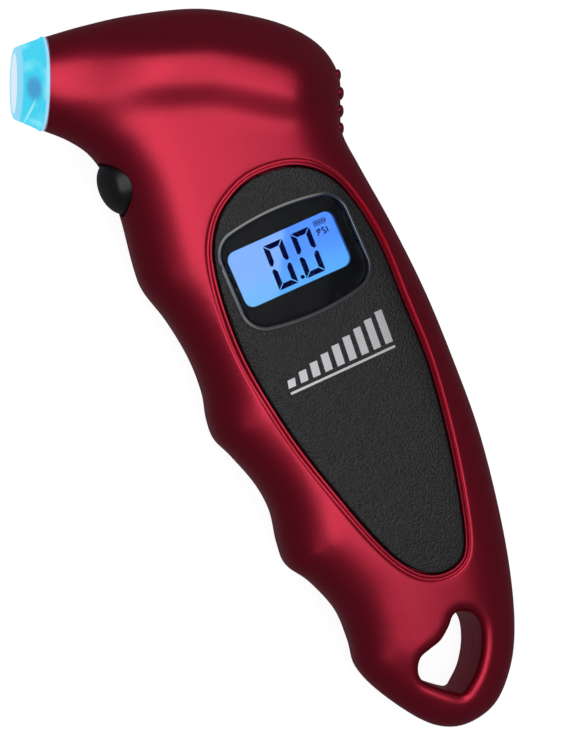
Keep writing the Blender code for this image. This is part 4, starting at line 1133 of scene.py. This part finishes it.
class GAUGE_OT_button(bpy.types.Operator):
    """Make the button"""

    bl_idname = "gauge.button"
    bl_label = "Button"

    def execute(self, context):
        button(context.scene.gauge_button)
        return {"FINISHED"}


# Painted light in the lit nozzle's glow: a painted shadow of the chuck, seal and valve pin behind its middle,
# and a painted pale streak of light under it.
# Spots are X and the offset from the barrel's axis. Lengths are in mm and turns in degrees.
CHUCK_SHADOW_SPOT, CHUCK_SHADOW_HALF, CHUCK_SHADOW_TURN = (-48.5, -1.8), (1.4, 2.2), 10
PALE_STREAK_SPOT, PALE_STREAK_HALF, PALE_STREAK_TURN = (-49.0, -6.0), (0.22, 1.9), -23
CLEAR_TINT, CHUCK_SHADOW_COLOUR, PALE_STREAK_COLOUR = (0.22, 0.84, 0.95), (0.06, 0.33, 0.64), (0.35, 0.86, 0.97)
FLANGE_START, MOUTH_END, BORE_EDGE = (-46.3, -46.15), (-50.9, -50.3), (5.6, 6.1)
# Paler painted glow on the flange and the mouth, and a painted white glare in the bore
FLANGE_GLOW, MOUTH_GLOW, BORE_GLARE = (0.36, 0.74, 0.98), (0.3, 0.72, 0.92), (0.75, 0.87, 0.96)


def lit_nozzle_material(settings):
    """Clear blue plastic lit from inside and cloudy. Its glow holds painted light: a painted shadow of the
    parts behind its middle, a painted pale streak of light, paler painted glow on the flange and the mouth,
    and a painted white glare in the bore.
    """
    material, tree, shader = principled("lit_nozzle", (0.02, 0.1, 0.14), 0.3)
    coords = node(tree, "ShaderNodeTexCoord").outputs["Object"]
    cloud = node(tree, "ShaderNodeTexNoise", {"Vector": coords, "Scale": 1 / (4.5 * MM), "Detail": 2.0})
    milky = node(tree, "ShaderNodeMapRange", {"Value": cloud.outputs[0], "From Min": 0.45, "From Max": 0.68})
    colour = mixed(tree, milky.outputs[0], settings.glow, CLEAR_TINT)
    # A painted shadow of the chuck, then a painted pale streak of light
    for spot, half, turn, edge, painted_colour in ((CHUCK_SHADOW_SPOT, CHUCK_SHADOW_HALF, CHUCK_SHADOW_TURN, 0.45, CHUCK_SHADOW_COLOUR),
                                         (PALE_STREAK_SPOT, PALE_STREAK_HALF, PALE_STREAK_TURN, 0.5, PALE_STREAK_COLOUR)):
        centre = (spot[0], NOZZLE_Y + spot[1])
        colour = mixed(tree, near(tree, coords, centre, half, math.radians(turn), edge), colour, painted_colour)
    # Paler painted glow towards the flange and the mouth, and a painted white glare in the bore
    along = node(tree, "ShaderNodeSeparateXYZ", {0: coords}).outputs["X"]
    flange = node(tree, "ShaderNodeMapRange", {"Value": along, "From Min": FLANGE_START[0] * MM,
                                               "From Max": FLANGE_START[1] * MM},
                  interpolation_type="SMOOTHSTEP")
    colour = mixed(tree, flange.outputs[0], colour, FLANGE_GLOW)
    colour = mixed(tree, fading(tree, along, MOUTH_END[0] * MM, MOUTH_END[1] * MM), colour, MOUTH_GLOW)
    off_axis = vector_maths(tree, "SUBTRACT", coords, Vector((0, NOZZLE_Y, PARTING)) * MM)
    radius = vector_maths(tree, "LENGTH", vector_maths(tree, "MULTIPLY", off_axis, (0, 1, 1)))
    bore = node(tree, "ShaderNodeMapRange", {"Value": radius, "From Min": BORE_EDGE[0] * MM,
                                             "From Max": BORE_EDGE[1] * MM, "To Min": 1.0, "To Max": 0.0})
    colour = mixed(tree, bore.outputs[0], colour, BORE_GLARE)
    tree.links.new(colour, shader.inputs["Emission Color"])
    shader.inputs["Emission Strength"].default_value = settings.brightness
    return material


def nozzle(settings):
    """The lit nozzle: a clear tip with a rounded mouth, a flange and a spigot in the casing."""
    tip, face = NOZZLE_TIP_X, COLLAR_X - GAP
    lens = ((4.9, tip + 1.1), (5.5, tip + 0.35), (5.9, tip + 0.1), (6.5, tip), (6.9, tip + 0.12),
            (7.2, tip + 0.5), (7.45, tip + 1.2), (8.2, -48.6), (8.95, face - 1.0), (9.15, face - 0.8),
            (9.3, face - 0.6), (9.3, face), (8.0, face), (8.0, -41.0), (6.5, -41.0), (6.5, tip + 2.4),
            (4.9, tip + 1.9))
    piece = turned("nozzle_light", lens, NOZZLE_PLACE, sides=96, bored=True,
                   materials=[lit_nozzle_material(settings)])
    place_piece(piece, "casing", "nozzle_blue", "nozzle_lens")


class GAUGE_OT_nozzle(bpy.types.Operator):
    """Make the lit nozzle"""

    bl_idname = "gauge.nozzle"
    bl_label = "Nozzle"

    def execute(self, context):
        nozzle(context.scene.gauge_nozzle)
        return {"FINISHED"}


def battery_door():
    """The part-turn door with its coin slot and lugs."""
    disc = [(0, DOOR_LOW), (DOOR_RADIUS - 0.5, DOOR_LOW), (DOOR_RADIUS - 0.15, DOOR_LOW + 0.15),
            (DOOR_RADIUS, DOOR_LOW + 0.5), (DOOR_RADIUS, DOOR_HIGH), (0, DOOR_HIGH)]
    black = plastic("door_black", (0.02, 0.02, 0.022), 0.45, grain=0.3, depth=0.01)
    door = turned("battery_door_cover", disc, DOOR_PLACE, sides=96, materials=[black])
    join(door, lug_ring("battery_door_lugs", DOOR_RADIUS - 1.0, WALL + GAP, DOOR_HIGH, 0.0, 0.0))
    slot = rounded_box_loop(DOOR_SPOT, 8.0, 1.1, 1.05)
    cut(door, prism("coin_slot", slot, -1, 1.1, place=HANDLE_PLACE))
    place_piece(door, "battery_door", "black_plastic", "battery_door")


def screws():
    """The pan-head screws in the back, each with a cross."""
    seat = SCREW_SEAT - GAP
    face, tip = seat - 1.8, PARTING + 5.0
    head = [(0, face), (0.8, face), (1.3, face + 0.08), (1.8, face + 0.3), (2.1, face + 0.7),
            (2.2, face + 1.1), (SCREW_HEAD, seat), (SCREW_SHANK, seat), (SCREW_SHANK, tip - 1.0),
            (0.4, tip), (0, tip)]
    screw = turned("screw", head, sides=40)
    cut(screw, *(prism(f"screw_cross_{w}", rounded_box_loop((0, 0), w, 1.9 - w, 0.1, 2), face - 1, face + 0.8)
                 for w in (1.55, 0.35)))
    made_plain(screw)
    mesh = screw.data.copy()
    mesh.transform(Matrix.Scale(1 / MM, 4))
    bpy.data.objects.remove(screw)
    steel = plastic("zinc_steel", (0.55, 0.55, 0.57), 0.3, grain=0.15, depth=0.004, Metallic=1.0)
    turns = [math.radians(25 + 50 * i) for i in range(len(SCREW_SPOTS))]
    piece = repeated("case_screws", mesh, [(x, y, 0) for x, y in SCREW_SPOTS], steel, turns)
    place_piece(piece, "casing", "steel", *(f"case_screw_{i + 1}" for i in range(len(SCREW_SPOTS))))


class GAUGE_OT_back(bpy.types.Operator):
    """Make the battery door and the screws in the back"""

    bl_idname = "gauge.back"
    bl_label = "Door and Screws"

    def execute(self, context):
        battery_door()
        screws()
        return {"FINISHED"}


# ---------------------------------------------------------------- inner parts


def inner_parts():
    """Gives every CAD part that stays its own finish."""
    finishes = {
        "white": plastic("white_moulding", (0.8, 0.8, 0.8), 0.45),
        "rubber": plastic("rubber_black", (0.03, 0.03, 0.03), 0.8, grain=0.3, depth=0.02),
        "black": plastic("inner_black", (0.02, 0.02, 0.022), 0.5),
        "board": plastic("board_green", (0.02, 0.16, 0.06), 0.4, grain=1.2, amount=0.2),
        "steel": plastic("bright_steel", (0.6, 0.6, 0.62), 0.28, Metallic=1.0),
        "brass": plastic("turned_brass", (0.72, 0.53, 0.22), 0.25, depth=0.004, Metallic=1.0),
        "nickel": plastic("bright_nickel", (0.85, 0.88, 0.92), 0.3, depth=0.004, Metallic=1.0),
        "silicone": plastic("pale_silicone", (0.8, 0.85, 0.9), 0.5),
        "hose": plastic("clear_hose", (0.75, 0.78, 0.8), 0.2, depth=0.004, Transmission_Weight=0.6),
        "wire_red": plastic("red_insulation", (0.55, 0.03, 0.02), 0.45),
        "wire_black": plastic("black_insulation", (0.02, 0.02, 0.02), 0.45),
        "guide": plastic("light_guide", (0.7, 0.8, 0.9), 0.2, depth=0.003, Transmission_Weight=0.4),
    }
    parts = {
        "white": ("display_frame", "backlight_lamp", "switch_plunger", "nozzle_lamp_upper",
                  "nozzle_lamp_lower"),
        "rubber": ("contact_strip_upper", "contact_strip_lower"),
        "black": ("controller_chip", "battery_holder", "switch_body"),
        "board": ("circuit_board", "switch_board", "lamp_board"),
        "steel": ("crystal_can", "pressure_sensor", "coin_cell"),
        "brass": ("contact_negative", "contact_positive", "valve_pin"),
        "nickel": ("nozzle_chuck",),
        "silicone": ("nozzle_seal",),
        "hose": ("air_hose",),
        "wire_red": ("lamp_wire_red",),
        "wire_black": ("lamp_wire_black", "switch_wire"),
        "guide": ("light_guide",),
    }
    for finish, names in parts.items():
        for name in names:
            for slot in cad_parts[name].material_slots:
                slot.material = finishes[finish]


class GAUGE_OT_inner_parts(bpy.types.Operator):
    """Give the parts inside the casing their finishes"""

    bl_idname = "gauge.inner_parts"
    bl_label = "Inner Parts"

    def execute(self, context):
        inner_parts()
        return {"FINISHED"}


# ---------------------------------------------------------------- stage

LIGHT_HEIGHT, FLOOR_HALF, FLOOR_DROP = 620.0, 1500.0, 0.05
FLOOR_GLOW = 0.9  # strength of the floor's own light
CAMERA_AIM = (3.1, 0.65, 14.0)
CAMERA_TILT, CAMERA_DISTANCE, CAMERA_LENS = math.radians(13), 480.0, 115.66


def softbox(name, x, y, size, power):
    """A rectangular area light over a point, facing straight down."""
    light = bpy.data.lights.new(name, "AREA")
    light.shape = "RECTANGLE"
    light.size, light.size_y = (s * MM for s in size)
    light.energy = power
    lamp = bpy.data.objects.new(name, light)
    bpy.context.scene.collection.objects.link(lamp)
    lamp.location = Vector((x, y, LIGHT_HEIGHT)) * MM


def stage(settings):
    """The floor, the lights and the camera."""
    bm = bmesh.new()
    bmesh.ops.create_grid(bm, x_segments=1, y_segments=1, size=FLOOR_HALF)
    floor = add("floor", mesh_of(bm, "floor"), place=Matrix.Translation((0, 0, -FLOOR_DROP)))
    white, tree, shader = principled("floor_white", settings.floor, 0.9)
    uneven, _ = speckled(tree, settings.floor, 0.01, 40)
    tree.links.new(uneven, shader.inputs["Base Color"])
    shader.inputs["Emission Color"].default_value = (1, 1, 1, 1)
    shader.inputs["Emission Strength"].default_value = FLOOR_GLOW
    floor.data.materials.append(white)
    floor.visible_glossy = False
    softbox("key", -60, 260, (440, 720), settings.key)
    softbox("grip_key", -160, -210, (280, 220), settings.grip)
    softbox("tail_key", 160, -170, (200, 180), settings.tail)
    world = bpy.data.worlds.new("soft_room")
    world.use_nodes = True
    background = world.node_tree.nodes["Background"]
    background.inputs["Color"].default_value = (0.85, 0.8, 0.9, 1)
    background.inputs["Strength"].default_value = settings.room
    bpy.context.scene.world = world
    bpy.context.scene.view_settings.view_transform = "Standard"
    data = bpy.data.cameras.new("camera")
    data.lens = CAMERA_LENS
    camera = bpy.data.objects.new("camera", data)
    bpy.context.scene.collection.objects.link(camera)
    away = Vector((-math.sin(CAMERA_TILT), 0, math.cos(CAMERA_TILT)))
    camera.location = (Vector(CAMERA_AIM) + CAMERA_DISTANCE * away) * MM
    camera.rotation_euler = (0, -CAMERA_TILT, 0)
    bpy.context.scene.camera = camera


class GAUGE_OT_stage(bpy.types.Operator):
    """Make the floor, the lights and the camera"""

    bl_idname = "gauge.stage"
    bl_label = "Stage"

    def execute(self, context):
        stage(context.scene.gauge_stage)
        return {"FINISHED"}


# ---------------------------------------------------------------- panel and registration

SETTINGS = {
    "gauge_casing": CasingSettings,
    "gauge_face": FaceSettings,
    "gauge_display": DisplaySettings,
    "gauge_nozzle": NozzleSettings,
    "gauge_button": ButtonSettings,
    "gauge_stage": StageSettings,
}
OPERATORS = (
    GAUGE_OT_stage, GAUGE_OT_casing, GAUGE_OT_thumb_ribs, GAUGE_OT_face, GAUGE_OT_display, GAUGE_OT_button,
    GAUGE_OT_nozzle, GAUGE_OT_back, GAUGE_OT_inner_parts,
)


class GAUGE_PT_panel(bpy.types.Panel):
    """The gauge's settings, and a button for each of its pieces"""

    bl_label = "Tire Pressure Gauge"
    bl_idname = "GAUGE_PT_panel"
    bl_space_type = "VIEW_3D"
    bl_region_type = "UI"
    bl_category = "Gauge"

    def draw(self, context):
        for key, group in SETTINGS.items():
            box = self.layout.box()
            box.label(text=group.__name__.replace("Settings", ""))
            for name in group.__annotations__:
                box.prop(getattr(context.scene, key), name)
        for operator in OPERATORS:
            self.layout.operator(operator.bl_idname)


def register():
    for cls in (*SETTINGS.values(), *OPERATORS, GAUGE_PT_panel):
        bpy.utils.register_class(cls)
    for key, group in SETTINGS.items():
        setattr(bpy.types.Scene, key, PointerProperty(type=group))


def unregister():
    for key in SETTINGS:
        delattr(bpy.types.Scene, key)
    for cls in reversed((*SETTINGS.values(), *OPERATORS, GAUGE_PT_panel)):
        bpy.utils.unregister_class(cls)


def main():
    register()
    bpy.ops.gauge.stage()
    bpy.ops.gauge.casing()
    bpy.ops.gauge.thumb_ribs()
    bpy.ops.gauge.face()
    bpy.ops.gauge.display()
    bpy.ops.gauge.button()
    bpy.ops.gauge.nozzle()
    bpy.ops.gauge.back()
    bpy.ops.gauge.inner_parts()


if __name__ == "__main__":
    main()
